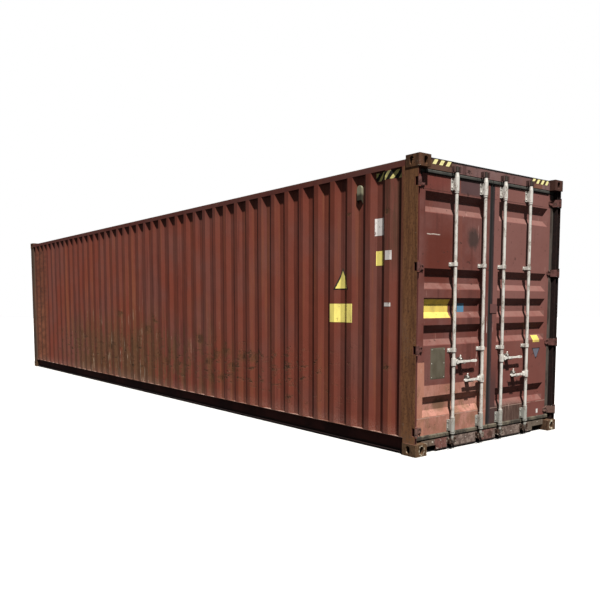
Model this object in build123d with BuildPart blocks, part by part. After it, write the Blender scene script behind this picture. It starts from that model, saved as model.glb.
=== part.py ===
"""A forty foot high cube dry cargo container with corrugated walls and two hinged doors."""

import os

from build123d import *

# Overall size. X runs across, Y along from the door end to the front end, Z up from the ground.
overall_length = 12192
overall_width = 2438
overall_height = 2896
half_length = overall_length / 2
half_width = overall_width / 2

# Corner castings
casting_length = 178
casting_width = 162
casting_height = 118
casting_face_wall = 28.6
casting_inner_wall = 12
lift_slot_length = 124
lift_slot_width = 63.5
lift_slot_from_end = 101.5
lift_slot_from_side = 89
side_slot_height = 79.4
side_slot_width = 51
casting_edge_radius = 7

# How far the sheet and the frame lie inside the castings
side_inset = 6
end_inset = 6
underside_height = 16

# Side rails
top_rail_size = 60
top_rail_wall = 3
top_rail_drop = 35
bottom_rail_top = 174
bottom_rail_top_flange = 48
bottom_rail_low_flange = 30
rail_plate = 4.5

# Corrugated sheet of the side walls
sheet = 2
side_pitch = 278
side_outer_face = 72
side_slope = 68
side_depth = 36
first_ridge_from_end = 383

# Corrugated sheet of the front wall
front_pitch = 250
front_outer_face = 104
front_slope = 18
front_depth = 45.6

# Front frame
post_plate = 6
front_post_inner = 42
front_rail_depth = 60
front_low_rail_top = 166

# Roof
roof_edge_strip = 90
rib_pitch = 209
rib_foot = 118
rib_height = 20
rib_taper = 34
roof_end_strip = 60

# Floor and its beams
floor_thickness = 28
floor_top = 166
floor_side_gap = 2
beam_height = 120
beam_flange = 45
beam_plate = 4
beam_pitch = 305
tunnel_length = 3300
tunnel_width = 1029
tunnel_plate = 4
tunnel_top = 134
seam_gap = 0.4

# Rear posts: an outer pressed plate and a thick inner channel, with a groove between them
post_width = 49
post_rear_inset = 18
post_side_length = 230
post_web = 10
post_web_inset = 34
post_groove_inset = 70
post_channel_plate = 10

# Door header and sill
frame_face_inset = 70
opening_bottom = 165
opening_top_drop = 114
header_top_drop = 6
header_depth = 130
header_plate = 4
sill_front_top = 126
sill_depth = 150
sill_plate = 4.5
sill_ledge = 41
sill_slope_run = 10
sill_notch_width = 217
sill_notch_top = 67
sill_notch_depth = 60
low_notch_half_width = 30
low_notch_top = 60

# Doors
leaf_face_inset = 80
leaf_thickness = 50
leaf_edge_gap = 28
leaf_sill_gap = 16
leaf_header_gap = 46
leaf_center_gap = 28
stile_width = 100
leaf_rail_height = 146
leaf_low_rail_height = 172
gasket_gap = 5
gasket_center_gap = 6
gasket_front_gap = 2
gasket_depth = 42
gasket_roll_depth = 40
gasket_roll_proud = 14
gasket_roll_side_gap = 7
recess_depth = 44
recess_slope = 62
recess_floor = 80
recess_end_run = 34
recess_shares = (0.1108, 0.3883, 0.4939, 0.6063, 0.8963)
lap_plate_from_center = 6
lap_plate_width = 114
lap_plate_height = 98
lap_plate_thickness = 5
lap_plate_share = 0.4908

# Hinges
hinge_count = 4
low_hinge_rise = 59
high_hinge_drop = 96
pin_from_side = 21
pin_from_end = 17
pin_radius = 10
knuckle_radius = 16
blade_height = 80
blade_plate = 10
blade_front_reach = 2
blade_straight = 34
blade_bend = 30
blade_length = 138
blade_tip_drop = 23
lug_plate = 12
lug_gap = 1
lug_nose = 15
notch_height = 84
notch_length = 38
pin_clearance = 0.3

# Locking bars
bar_radius = 17
bar_outer_from_edge = 509
bar_inner_from_edge = 142
bar_from_leaf = 46
bore_clearance = 0.6
ring_radius = 22
ring_height = 12
ring_gap = 6
low_ring_radius = 26
cone_radius = 23
cone_height = 44
neck_radius = 13
low_neck_radius = 15.5
cam_height = 46
cam_hub_radius = 19
cam_nose_reach = 28
cam_nose_radius = 10
cam_tip_radius = 12
cam_tip_height = 8
cam_neck_height = 8
low_cam_drop = 12

# Keepers that the cams turn in
keeper_plate = 6
keeper_cheek_from_bar = 36
keeper_lip_width = 12
keeper_reach = 44
keeper_lip_reach = 8
keeper_height = 58

# Brackets that hold the bars on the doors
sleeve_radius = 24
bracket_flange_half_width = 38
guide_flange_half_width = 48
flange_plate = 8
flange_end_gap = 12
tall_bracket_height = 136
guide_shares = (0.3276, 0.6654)
guide_height = 37

# Handles, their retainers and catches
high_handle_rise = 716
low_handle_rise = 519
high_handle_length = 363
low_handle_length = 300
high_retainer_from_bar = 142
low_retainer_from_bar = 198
hub_height = 74
hub_radius = 25
ear_reach = 66
ear_height = 60
ear_tip_height = 40
ear_plate = 10
pivot_from_bar = 50
pivot_radius = 7
handle_root_radius = 22
handle_height = 26
handle_plate = 12
handle_back = 48
handle_gap = 0.4
handle_half_shares = ((0, 0.5), (0.45, 0.42), (0.72, 0.34), (0.9, 0.54))
retainer_width = 64
retainer_plate = 8
ledge_gap = 1
ledge_front = 66
retainer_rise = 42
catch_rise = 22
catch_reach = 35
catch_foot = 30
catch_tip = 9
catch_window = 14
catch_window_rise = 4
catch_window_reach = 24
catch_plate = 6
catch_ball_radius = 8
catch_width = 34
catch_pin_radius = 4
catch_barrel_radius = 6
catch_from_leaf = 18
catch_side_gap = 1

# Ventilators
vent_width = 66
vent_height = 190
vent_depth = 28
vent_wall = 3
vent_trough = 1
vent_top_drop = 97
vent_lip_rise = 40

overrun = 10

# Planes that the pieces share
side_face = half_width - side_inset
wall_inner = side_face - side_depth
rear_face = -half_length + end_inset
frame_face = -half_length + frame_face_inset
front_face = half_length - end_inset
casting_rear_end = -half_length + casting_length
casting_front_end = half_length - casting_length
casting_inner_side = half_width - casting_width
top_casting_low = overall_height - casting_height
top_rail_top = overall_height - top_rail_drop
top_rail_low = top_rail_top - top_rail_size
opening_half_width = half_width - post_width
opening_top = overall_height - opening_top_drop
header_top = overall_height - header_top_drop
first_ridge = -half_length + first_ridge_from_end
leaf_face = -half_length + leaf_face_inset
leaf_back = leaf_face + leaf_thickness
leaf_side = opening_half_width - leaf_edge_gap
leaf_low = opening_bottom + leaf_sill_gap
leaf_high = opening_top - leaf_header_gap
leaf_height = leaf_high - leaf_low
low_hinge = leaf_low + low_hinge_rise
hinge_pitch = (leaf_high - high_hinge_drop - low_hinge) / (hinge_count - 1)
hinge_heights = [low_hinge + index * hinge_pitch for index in range(hinge_count)]
bar_outer_offset = leaf_side - bar_outer_from_edge
bar_inner_offset = leaf_center_gap + bar_inner_from_edge
bar_line = leaf_face - bar_from_leaf
pin_x = half_width - pin_from_side
pin_y = -half_length + pin_from_end
rail_inner_side = side_face - bottom_rail_top_flange
low_bracket = leaf_low
high_bracket = leaf_high - tall_bracket_height
low_cam = sill_front_top - low_cam_drop - cam_height
high_cam = high_bracket + tall_bracket_height + cone_height + cam_neck_height


def save(builder, node):
    builder.part.label = node
    export_step(builder.part, f"parts/{node}.step")


def block(x0, x1, y0, y1, z0, z1, mode=Mode.ADD):
    """A box between two corners, given in either order."""
    with Locations(((x0 + x1) / 2, (y0 + y1) / 2, (z0 + z1) / 2)):
        Box(abs(x1 - x0), abs(y1 - y0), abs(z1 - z0), mode=mode)


def upright(x, y, z0, z1, radius, mode=Mode.ADD):
    """An upright cylinder."""
    with Locations((x, y, (z0 + z1) / 2)):
        Cylinder(radius, z1 - z0, mode=mode)


def across(x, y, z, length, radius, turn, mode=Mode.ADD):
    """A level cylinder, along X or Y by its turn."""
    with Locations(Location((x, y, z), turn)):
        Cylinder(radius, length, mode=mode)


along_x = (0, 90, 0)
along_y = (90, 0, 0)


def folds(starts, slope, floor, depth):
    """The corners of a folded sheet as (along, in) pairs, one trough from each start."""
    path = []
    for start in starts:
        path.append((start, 0))
        path.append((start + slope, depth))
        path.append((start + slope + floor, depth))
        path.append((start + 2 * slope + floor, 0))
    return path


def ridge_starts():
    """Where the outer faces of the side wall's ridges begin, as many as fit before the front post."""
    starts = []
    start = first_ridge
    while start + side_outer_face + side_slope < casting_front_end:
        starts.append(start)
        start += side_pitch
    return starts


def even_starts(begin, end, pitch, outer_face):
    """Trough starts of as many whole waves as fit, centred between two ends."""
    count = int((end - begin + outer_face) / pitch)
    edge = (end - begin - count * pitch + outer_face) / 2
    return [begin + edge + index * pitch for index in range(count)]


def casting_body(x_side, y_side, base, inward):
    """The thick hollow box of one corner casting, grown inwards from its outer corner."""
    corner = (x_side * half_width, y_side * half_length, base)
    size = (-x_side * casting_width, -y_side * casting_length, inward * casting_height)
    ends = [value for start, run in zip(corner, size) for value in (start, start + run)]
    block(*ends)
    hollow = []
    for start, run in zip(corner, size):
        hand = 1 if run > 0 else -1
        hollow += [start + hand * casting_face_wall, start + run - hand * casting_inner_wall]
    block(*hollow, mode=Mode.SUBTRACT)


def make_castings(y_side, node):
    """The four castings of one end, with a slot through each of their three outer walls."""
    reach = casting_face_wall + overrun
    with BuildPart() as castings:
        for x_side in (-1, 1):
            for base, inward in ((0, 1), (overall_height, -1)):
                casting_body(x_side, y_side, base, inward)
                slot_x = x_side * (half_width - lift_slot_from_side)
                slot_y = y_side * (half_length - lift_slot_from_end)
                slot_z = base + inward * casting_height / 2
                with BuildSketch(Plane.XY.offset(base - inward * overrun)):
                    with Locations((slot_x, slot_y)):
                        SlotOverall(lift_slot_length, lift_slot_width, rotation=90)
                extrude(amount=inward * reach, mode=Mode.SUBTRACT)
                with BuildSketch(Plane.YZ.offset(x_side * (half_width + overrun))):
                    with Locations((slot_y, slot_z)):
                        SlotOverall(side_slot_height, side_slot_width, rotation=90)
                extrude(amount=-x_side * reach, mode=Mode.SUBTRACT)
                with BuildSketch(Plane.XZ.offset(-y_side * (half_length + overrun))):
                    with Locations((slot_x, slot_z)):
                        SlotOverall(side_slot_height, side_slot_width, rotation=90)
                extrude(amount=y_side * reach, mode=Mode.SUBTRACT)
        nearly = half_width + half_length - casting_edge_radius
        corners = []
        for edge in castings.edges().filter_by(Axis.Z):
            if abs(edge.center().X) + abs(edge.center().Y) > nearly:
                corners.append(edge)
        fillet(corners, casting_edge_radius)
    save(castings, node)


def make_side_wall(x_side, node):
    """Trapezoid ridges all along, from a trough behind the rear post to one at the front post."""
    depth = side_depth - sheet
    path = [(casting_rear_end, depth)]
    for start in ridge_starts():
        path.append((start - side_slope, depth))
        path.append((start, 0))
        path.append((start + side_outer_face, 0))
        path.append((start + side_outer_face + side_slope, depth))
    path.append((casting_front_end, depth))
    outside = [(x_side * (side_face - inward), along) for along, inward in path]
    inside = [(x_side * (side_face - inward - sheet), along) for along, inward in reversed(path)]
    with BuildPart() as wall:
        with BuildSketch(Plane.XY.offset(bottom_rail_top)):
            with BuildLine():
                Polyline(*outside, *inside, close=True)
            make_face()
        extrude(amount=top_rail_low - bottom_rail_top)
    save(wall, node)


def make_front_wall():
    floor = front_pitch - front_outer_face - 2 * front_slope
    starts = even_starts(-casting_inner_side, casting_inner_side, front_pitch, front_outer_face)
    path = [(-casting_inner_side, 0)]
    path += folds(starts, front_slope, floor, front_depth - sheet)
    path.append((casting_inner_side, 0))
    outside = [(along, front_face - inward) for along, inward in path]
    inside = [(along, front_face - inward - sheet) for along, inward in reversed(path)]
    with BuildPart() as wall:
        with BuildSketch(Plane.XY.offset(front_low_rail_top)):
            with BuildLine():
                Polyline(*outside, *inside, close=True)
            make_face()
        extrude(amount=top_rail_low - front_low_rail_top)
    save(wall, "front_wall")


def make_top_side_rail(x_side, node):
    with BuildPart() as rail:
        outer = x_side * side_face
        inner = x_side * (side_face - top_rail_size)
        block(outer, inner, casting_rear_end, casting_front_end, top_rail_low, top_rail_top)
        block(
            outer - x_side * top_rail_wall,
            inner + x_side * top_rail_wall,
            casting_rear_end - overrun,
            casting_front_end + overrun,
            top_rail_low + top_rail_wall,
            top_rail_top - top_rail_wall,
            mode=Mode.SUBTRACT,
        )
    save(rail, node)


def make_bottom_side_rail(x_side, node):
    """A channel that opens outwards, with its upper flange under the wall."""
    web = x_side * rail_inner_side
    web_outer = x_side * (rail_inner_side + rail_plate)
    low_edge = x_side * (rail_inner_side + bottom_rail_low_flange)
    ends = (casting_rear_end, casting_front_end)
    with BuildPart() as rail:
        block(web, web_outer, *ends, underside_height, bottom_rail_top)
        block(web, x_side * side_face, *ends, bottom_rail_top - rail_plate, bottom_rail_top)
        block(web, low_edge, *ends, underside_height, underside_height + rail_plate)
    save(rail, node)


def make_front_post(x_side, node):
    """A closed pressed section with a slanting inner face."""
    corners = [
        (x_side * side_face, casting_front_end),
        (x_side * side_face, front_face),
        (x_side * casting_inner_side, front_face),
        (x_side * casting_inner_side, front_face - front_depth),
        (x_side * (side_face - front_post_inner), casting_front_end),
    ]
    with BuildPart() as post:
        with BuildSketch(Plane.XY.offset(casting_height)):
            with BuildLine():
                Polyline(*corners, close=True)
            make_face()
            offset(amount=-post_plate, mode=Mode.SUBTRACT)
        extrude(amount=top_casting_low - casting_height)
    save(post, node)


def make_front_top_rail():
    with BuildPart() as rail:
        inner = front_face - front_rail_depth
        block(-casting_inner_side, casting_inner_side, inner, front_face, top_rail_low, top_rail_top)
        block(
            -casting_inner_side - overrun,
            casting_inner_side + overrun,
            inner + top_rail_wall,
            front_face - top_rail_wall,
            top_rail_low + top_rail_wall,
            top_rail_top - top_rail_wall,
            mode=Mode.SUBTRACT,
        )
    save(rail, "front_top_rail")


def make_front_bottom_rail():
    """A deep tube under the front wall, in three lengths, the middle one over the gooseneck tunnel."""
    inner = front_face - front_rail_depth
    with BuildPart() as rail:
        span = (-casting_inner_side, casting_inner_side)
        block(*span, inner, front_face, underside_height, front_low_rail_top)
        block(
            -casting_inner_side - overrun,
            casting_inner_side + overrun,
            inner + rail_plate,
            front_face - rail_plate,
            underside_height + rail_plate,
            front_low_rail_top - rail_plate,
            mode=Mode.SUBTRACT,
        )
        block(
            -tunnel_width / 2,
            tunnel_width / 2,
            inner - overrun,
            front_face + overrun,
            0,
            tunnel_top + tunnel_plate,
            mode=Mode.SUBTRACT,
        )
        for x_side in (-1, 1):
            seam = x_side * tunnel_width / 2
            far = seam + x_side * seam_gap
            block(
                seam,
                far,
                inner - overrun,
                front_face + overrun,
                0,
                front_low_rail_top + overrun,
                mode=Mode.SUBTRACT,
            )
    save(rail, "front_bottom_rail")


def make_roof():
    """One sheet with pressed ribs that stop short of the side rails."""
    length = 2 * casting_front_end
    rib_count = int((length - 2 * roof_end_strip) / rib_pitch)
    rib_length = 2 * (side_face - top_rail_size) - roof_edge_strip
    with BuildPart() as roof:
        sheet_half = side_face - top_rail_size / 2
        block(-sheet_half, sheet_half, -length / 2, length / 2, top_rail_top, top_rail_top + sheet)
        block(
            -casting_inner_side,
            casting_inner_side,
            rear_face + header_depth,
            front_face,
            top_rail_top,
            top_rail_top + sheet,
        )
        with BuildSketch(Plane.XY.offset(top_rail_top + sheet)):
            with GridLocations(0, rib_pitch, 1, rib_count):
                Rectangle(rib_length, rib_foot)
        extrude(amount=rib_height - sheet, taper=rib_taper)
        with BuildSketch(Plane.XY.offset(top_rail_top)):
            with GridLocations(0, rib_pitch, 1, rib_count):
                Rectangle(rib_length - 2 * sheet, rib_foot - 2 * sheet)
        extrude(amount=rib_height - sheet, taper=rib_taper, mode=Mode.SUBTRACT)
    save(roof, "roof")


def make_floor():
    with BuildPart() as floor:
        side = rail_inner_side - floor_side_gap
        low = floor_top - floor_thickness
        block(-side, side, rear_face + sill_depth, casting_front_end, low, floor_top)
        block(
            -casting_inner_side + floor_side_gap,
            casting_inner_side - floor_side_gap,
            casting_front_end,
            front_face - front_rail_depth,
            low,
            floor_top,
        )
    save(floor, "floor_boards")


def beam(x0, x1, y):
    """One pressed channel across the container under the floor."""
    top = floor_top - floor_thickness
    low = top - beam_height
    block(x0, x1, y, y + beam_plate, low, top)
    block(x0, x1, y, y + beam_flange, top - beam_plate, top)
    block(x0, x1, y, y + beam_flange, low, low + beam_plate)


def make_cross_members():
    """Beams at even steps, cut to short outriggers beside the tunnel."""
    first = rear_face + sill_depth + beam_pitch / 2
    last = casting_front_end - beam_flange
    count = int((last - first) / beam_pitch) + 1
    tunnel_start = half_length - tunnel_length
    side = rail_inner_side
    tunnel_side = tunnel_width / 2 + tunnel_plate
    with BuildPart() as beams:
        for index in range(count):
            y = first + index * beam_pitch
            if y + beam_flange < tunnel_start:
                beam(-side, side, y)
            else:
                beam(-side, -tunnel_side, y)
                beam(tunnel_side, side, y)
    save(beams, "cross_members")


def make_gooseneck_tunnel():
    """An upturned trough under the floor at the front end."""
    half = tunnel_width / 2
    start = half_length - tunnel_length
    end = front_face - front_rail_depth
    with BuildPart() as tunnel:
        block(-half + seam_gap, half - seam_gap, start, end, tunnel_top, floor_top - floor_thickness)
        for x_side in (-1, 1):
            block(
                x_side * half,
                x_side * (half + tunnel_plate),
                start,
                end,
                underside_height,
                floor_top - floor_thickness,
            )
    save(tunnel, "gooseneck_tunnel")


def make_rear_post(x_side, node):
    """An outer pressed plate and a thick channel, with slots and lugs for the hinges."""
    outer = x_side * side_face
    plate_inner = x_side * (side_face - post_plate)
    trough = x_side * (wall_inner + sheet)
    rear = -half_length + post_rear_inset
    side_end = -half_length + post_side_length
    door_side = x_side * opening_half_width
    web = x_side * (opening_half_width + post_web)
    web_rear = -half_length + post_web_inset
    groove = -half_length + post_groove_inset
    span = (casting_height, top_casting_low)
    upper = (bottom_rail_top, top_rail_low)
    with BuildPart() as post:
        block(outer, plate_inner, rear, casting_rear_end, *span)
        block(outer, plate_inner, casting_rear_end, side_end, *upper)
        block(plate_inner, trough, side_end - post_plate, side_end, *upper)
        block(door_side, web, web_rear, casting_rear_end, *span)
        block(web, plate_inner, groove, groove + post_channel_plate, *span)
        block(web, plate_inner, casting_rear_end - post_channel_plate, casting_rear_end, *span)
        for height in hinge_heights:
            block(
                outer + x_side * overrun,
                plate_inner,
                rear - overrun,
                rear + notch_length,
                height - notch_height / 2,
                height + notch_height / 2,
                mode=Mode.SUBTRACT,
            )
            hinge_lugs(x_side, groove, height)
    save(post, node)


def hinge_lugs(x_side, groove, height):
    """The two lugs that hold a hinge pin above and below its knuckle."""
    for up in (-1, 1):
        near = height + up * (blade_height / 2 + lug_gap)
        low, high = sorted((near, near + up * lug_plate))
        block(x_side * (opening_half_width + post_web), x_side * side_face, pin_y, groove, low, high)
        upright(x_side * pin_x, pin_y, low, high, lug_nose)
        upright(
            x_side * pin_x,
            pin_y,
            low - pin_clearance,
            high + pin_clearance,
            pin_radius + pin_clearance,
            mode=Mode.SUBTRACT,
        )


def bar_places():
    return (-bar_outer_offset, -bar_inner_offset, bar_inner_offset, bar_outer_offset)


def make_door_header():
    """A box section over the doors, level with their faces."""
    back = rear_face + header_depth
    span = (-casting_inner_side, casting_inner_side)
    with BuildPart() as header:
        block(*span, frame_face, back, opening_top, header_top)
        block(
            span[0] - overrun,
            span[1] + overrun,
            frame_face + header_plate,
            back - header_plate,
            opening_top + header_plate,
            header_top - header_plate,
            mode=Mode.SUBTRACT,
        )
    save(header, "door_header")


def make_door_sill():
    """A pressed sill, cut away below beside the castings and under each cam."""
    slope_start = frame_face + sill_ledge
    back = rear_face + sill_depth
    outline = [
        (frame_face, underside_height),
        (frame_face, sill_front_top),
        (slope_start, sill_front_top),
        (slope_start + sill_slope_run, opening_bottom),
        (back, opening_bottom),
        (back, underside_height),
    ]
    span = (-casting_inner_side, casting_inner_side)
    cuts = []
    for x_side in (-1, 1):
        end = x_side * (casting_inner_side + overrun)
        cuts.append((x_side * (casting_inner_side - sill_notch_width), end, sill_notch_top))
    for x in bar_places():
        cuts.append((x - low_notch_half_width, x + low_notch_half_width, low_notch_top))
    with BuildPart() as sill:
        with BuildSketch(Plane.YZ.offset(span[0])):
            with BuildLine():
                Polyline(*outline, close=True)
            make_face()
            offset(amount=-sill_plate, mode=Mode.SUBTRACT)
        extrude(amount=span[1] - span[0])
        for x_side in (-1, 1):
            block(
                x_side * casting_inner_side,
                x_side * opening_half_width,
                slope_start + sill_slope_run,
                back,
                casting_height,
                opening_bottom,
            )
        for start, end, top in cuts:
            block(
                start,
                end,
                frame_face - overrun,
                frame_face + sill_notch_depth,
                underside_height - overrun,
                top,
                mode=Mode.SUBTRACT,
            )
    save(sill, "door_sill")


def make_cam_keepers():
    """Two cheeks with flared lips beside each cam, open to the front."""
    front = frame_face - keeper_reach
    edge = keeper_cheek_from_bar + keeper_plate
    with BuildPart() as keepers:
        for x in bar_places():
            for cam in (low_cam, high_cam):
                low = cam + (cam_height - keeper_height) / 2
                for side in (-1, 1):
                    outline = [
                        (x + side * keeper_cheek_from_bar, frame_face),
                        (x + side * keeper_cheek_from_bar, front),
                        (x + side * edge, front - keeper_lip_reach),
                        (x + side * (edge + keeper_lip_width), front),
                        (x + side * edge, front + keeper_lip_reach),
                        (x + side * edge, frame_face),
                    ]
                    with BuildSketch(Plane.XY.offset(low)):
                        with BuildLine():
                            Polyline(*outline, close=True)
                        make_face()
                    extrude(amount=keeper_height)
    save(keepers, "cam_keepers")


def make_ventilator(x_side, y_side, node):
    """A small round topped hood over the air holes, open below, in a trough near one end."""
    starts = ridge_starts()
    start = starts[vent_trough] if y_side < 0 else starts[-1 - vent_trough]
    trough = side_pitch - side_outer_face - 2 * side_slope
    y = start + side_outer_face + side_slope + trough / 2
    top = top_rail_low - vent_top_drop
    low = top - vent_height
    shoulder = top - vent_width / 2
    back = x_side * (wall_inner + sheet)
    front = x_side * (wall_inner + sheet + vent_depth)
    with BuildPart() as vent:
        for inset, mode in ((0, Mode.ADD), (vent_wall, Mode.SUBTRACT)):
            bottom = low - inset
            with BuildSketch(Plane.YZ.offset(back)):
                with Locations((y, shoulder)):
                    Circle(vent_width / 2 - inset)
                with Locations((y, (shoulder + bottom) / 2)):
                    Rectangle(vent_width - 2 * inset, shoulder - bottom)
            extrude(amount=x_side * (vent_depth - inset), mode=mode)
        with BuildSketch(Plane.XZ.offset(-y - vent_width / 2 - overrun)):
            with BuildLine():
                Polyline((back, low), (front, low), (front, low + vent_lip_rise), close=True)
            make_face()
        extrude(amount=vent_width + 2 * overrun, mode=Mode.SUBTRACT)
    save(vent, node)


def leaf_ends(x_side):
    """The outer and the inner edge of a door leaf."""
    return x_side * leaf_side, x_side * leaf_center_gap


def make_door_frame(x_side, node):
    """Stiles and rails round the panel, and on the right door the plate that laps over the other one."""
    outer, inner = leaf_ends(x_side)
    with BuildPart() as frame:
        block(outer, inner, leaf_face, leaf_back, leaf_low, leaf_high)
        block(
            outer - x_side * stile_width,
            inner + x_side * stile_width,
            leaf_face - overrun,
            leaf_back + overrun,
            leaf_low + leaf_low_rail_height,
            leaf_high - leaf_rail_height,
            mode=Mode.SUBTRACT,
        )
        if x_side > 0:
            middle = leaf_low + lap_plate_share * leaf_height
            block(
                lap_plate_from_center,
                lap_plate_from_center + lap_plate_width,
                leaf_face - lap_plate_thickness,
                leaf_face,
                middle - lap_plate_height / 2,
                middle + lap_plate_height / 2,
            )
    save(frame, node)


def make_door_panel(x_side, node):
    """A sheet with five level recesses, set flush in the door frame."""
    outer, inner = leaf_ends(x_side)
    half = recess_slope + recess_floor / 2
    starts = [leaf_low + share * leaf_height - half for share in recess_shares]
    path = [(leaf_low + leaf_low_rail_height, 0)]
    path += folds(starts, recess_slope, recess_floor, recess_depth - sheet)
    path.append((leaf_high - leaf_rail_height, 0))
    outside = [(leaf_face + inward, up) for up, inward in path]
    inside = [(leaf_face + inward + sheet, up) for up, inward in reversed(path)]
    ends = sorted((outer - x_side * stile_width, inner + x_side * stile_width))
    floor = leaf_face + recess_depth
    with BuildPart() as panel:
        with BuildSketch(Plane.YZ.offset(ends[0])):
            with BuildLine():
                Polyline(*outside, *inside, close=True)
            make_face()
        extrude(amount=ends[1] - ends[0])
        for start in starts:
            with BuildSketch(Plane.XY.offset(start)):
                for end, run in zip(ends, (recess_end_run, -recess_end_run)):
                    with BuildLine():
                        Polyline((end, leaf_face), (end, floor), (end + run, floor), close=True)
                    make_face()
            extrude(amount=2 * half)
    save(panel, node)


def make_door_gasket(x_side, node):
    """A strip round the leaf, with a thick roll along its top and bottom edges."""
    outer, inner = leaf_ends(x_side)
    front = leaf_face + gasket_front_gap
    roll = leaf_face - gasket_roll_proud
    center = x_side * gasket_center_gap
    high_end = x_side * (casting_inner_side - gasket_roll_side_gap)
    with BuildPart() as gasket:
        block(
            x_side * (opening_half_width - gasket_gap),
            center,
            front,
            front + gasket_depth,
            opening_bottom + gasket_gap,
            top_casting_low - gasket_gap,
        )
        cut = (front - overrun, front + gasket_depth + overrun)
        block(outer, inner, *cut, leaf_low, leaf_high, mode=Mode.SUBTRACT)
        rolls = (
            (outer, sill_front_top + gasket_gap, leaf_low),
            (high_end, leaf_high, opening_top - gasket_gap),
        )
        for end, low, high in rolls:
            with BuildSketch(Plane.YZ.offset(center)):
                with Locations((roll + gasket_roll_depth / 2, (low + high) / 2)):
                    RectangleRounded(gasket_roll_depth, high - low, gasket_roll_proud)
            extrude(amount=end - center)
    save(gasket, node)


def make_door_hinges(x_side, node):
    """Cranked blades from the hinge pins to the face of the door, tapered to their tips."""
    x = x_side * pin_x
    front = pin_y + blade_front_reach
    back = front + blade_plate
    straight_end = pin_x - blade_straight
    bend_end = straight_end - blade_bend
    tip = pin_x - blade_length
    corners = [
        (x_side * pin_x, front),
        (x_side * straight_end, front),
        (x_side * bend_end, leaf_face - blade_plate),
        (x_side * tip, leaf_face - blade_plate),
        (x_side * tip, leaf_face),
        (x_side * (bend_end + blade_front_reach), leaf_face),
        (x_side * (straight_end + blade_plate / 2), back),
        (x_side * pin_x, back),
    ]
    half = blade_height / 2
    pin_half = half + lug_gap + lug_plate
    with BuildPart() as hinges:
        for height in hinge_heights:
            with BuildSketch(Plane.XY.offset(height - half)):
                with BuildLine():
                    Polyline(*corners, close=True)
                make_face()
            extrude(amount=blade_height)
            with BuildSketch(Plane.XZ.offset(-leaf_face)):
                for up in (-1, 1):
                    edge = height + up * half
                    with BuildLine():
                        Polyline(
                            (x_side * bend_end, edge),
                            (x_side * (tip - overrun), edge),
                            (x_side * (tip - overrun), edge - up * blade_tip_drop),
                            (x_side * tip, edge - up * blade_tip_drop),
                            close=True,
                        )
                    make_face()
            extrude(amount=blade_plate, mode=Mode.SUBTRACT)
            upright(x, pin_y, height - half, height + half, knuckle_radius)
            upright(x, pin_y, height - pin_half, height + pin_half, pin_radius)
    save(hinges, node)


def make_bar_brackets(bars, node):
    """Tall sleeves at both ends of each bar and two guides between them, bolted to the door."""
    rows = []
    for low in (low_bracket, high_bracket):
        high = low + tall_bracket_height
        rows.append((low, high, flange_end_gap, bracket_flange_half_width))
    for share in guide_shares:
        middle = leaf_low + share * leaf_height
        rows.append((middle - guide_height / 2, middle + guide_height / 2, 0, guide_flange_half_width))
    with BuildPart() as brackets:
        for x in bars:
            for low, high, gap, half in rows:
                block(x - half, x + half, leaf_face - flange_plate, leaf_face, low + gap, high - gap)
                block(x - sleeve_radius, x + sleeve_radius, bar_line, leaf_face, low + gap, high - gap)
                upright(x, bar_line, low, high, sleeve_radius)
                bore = bar_radius + bore_clearance
                upright(x, bar_line, low - overrun, high + overrun, bore, mode=Mode.SUBTRACT)
    save(brackets, node)


def bar_profile():
    """The turned outline of a bar as (radius, height) pairs from its lower to its upper tip."""
    low_ring = low_bracket - ring_gap
    over_low = low_bracket + tall_bracket_height + ring_gap
    under_high = high_bracket - ring_gap - ring_height
    cone = high_bracket + tall_bracket_height + bore_clearance
    steps = [
        (cam_tip_radius, low_cam - cam_tip_height, low_cam),
        (cam_hub_radius, low_cam, low_cam + cam_height),
        (low_neck_radius, low_cam + cam_height, low_ring - ring_height),
        (low_ring_radius, low_ring - ring_height, low_ring),
        (bar_radius, low_ring, over_low),
        (ring_radius, over_low, over_low + ring_height),
        (bar_radius, over_low + ring_height, under_high),
        (ring_radius, under_high, under_high + ring_height),
        (bar_radius, under_high + ring_height, cone),
    ]
    outline = []
    for radius, low, high in steps:
        outline += [(radius, low), (radius, high)]
    outline += [(cone_radius, cone), (bar_radius, high_cam - cam_neck_height)]
    outline += [(neck_radius, high_cam - cam_neck_height), (neck_radius, high_cam)]
    outline += [(cam_hub_radius, high_cam), (cam_hub_radius, high_cam + cam_height)]
    tip = high_cam + cam_height + cam_tip_height
    outline += [(cam_tip_radius, high_cam + cam_height), (cam_tip_radius, tip)]
    return [(0, low_cam - cam_tip_height), *outline, (0, tip)]


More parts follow.
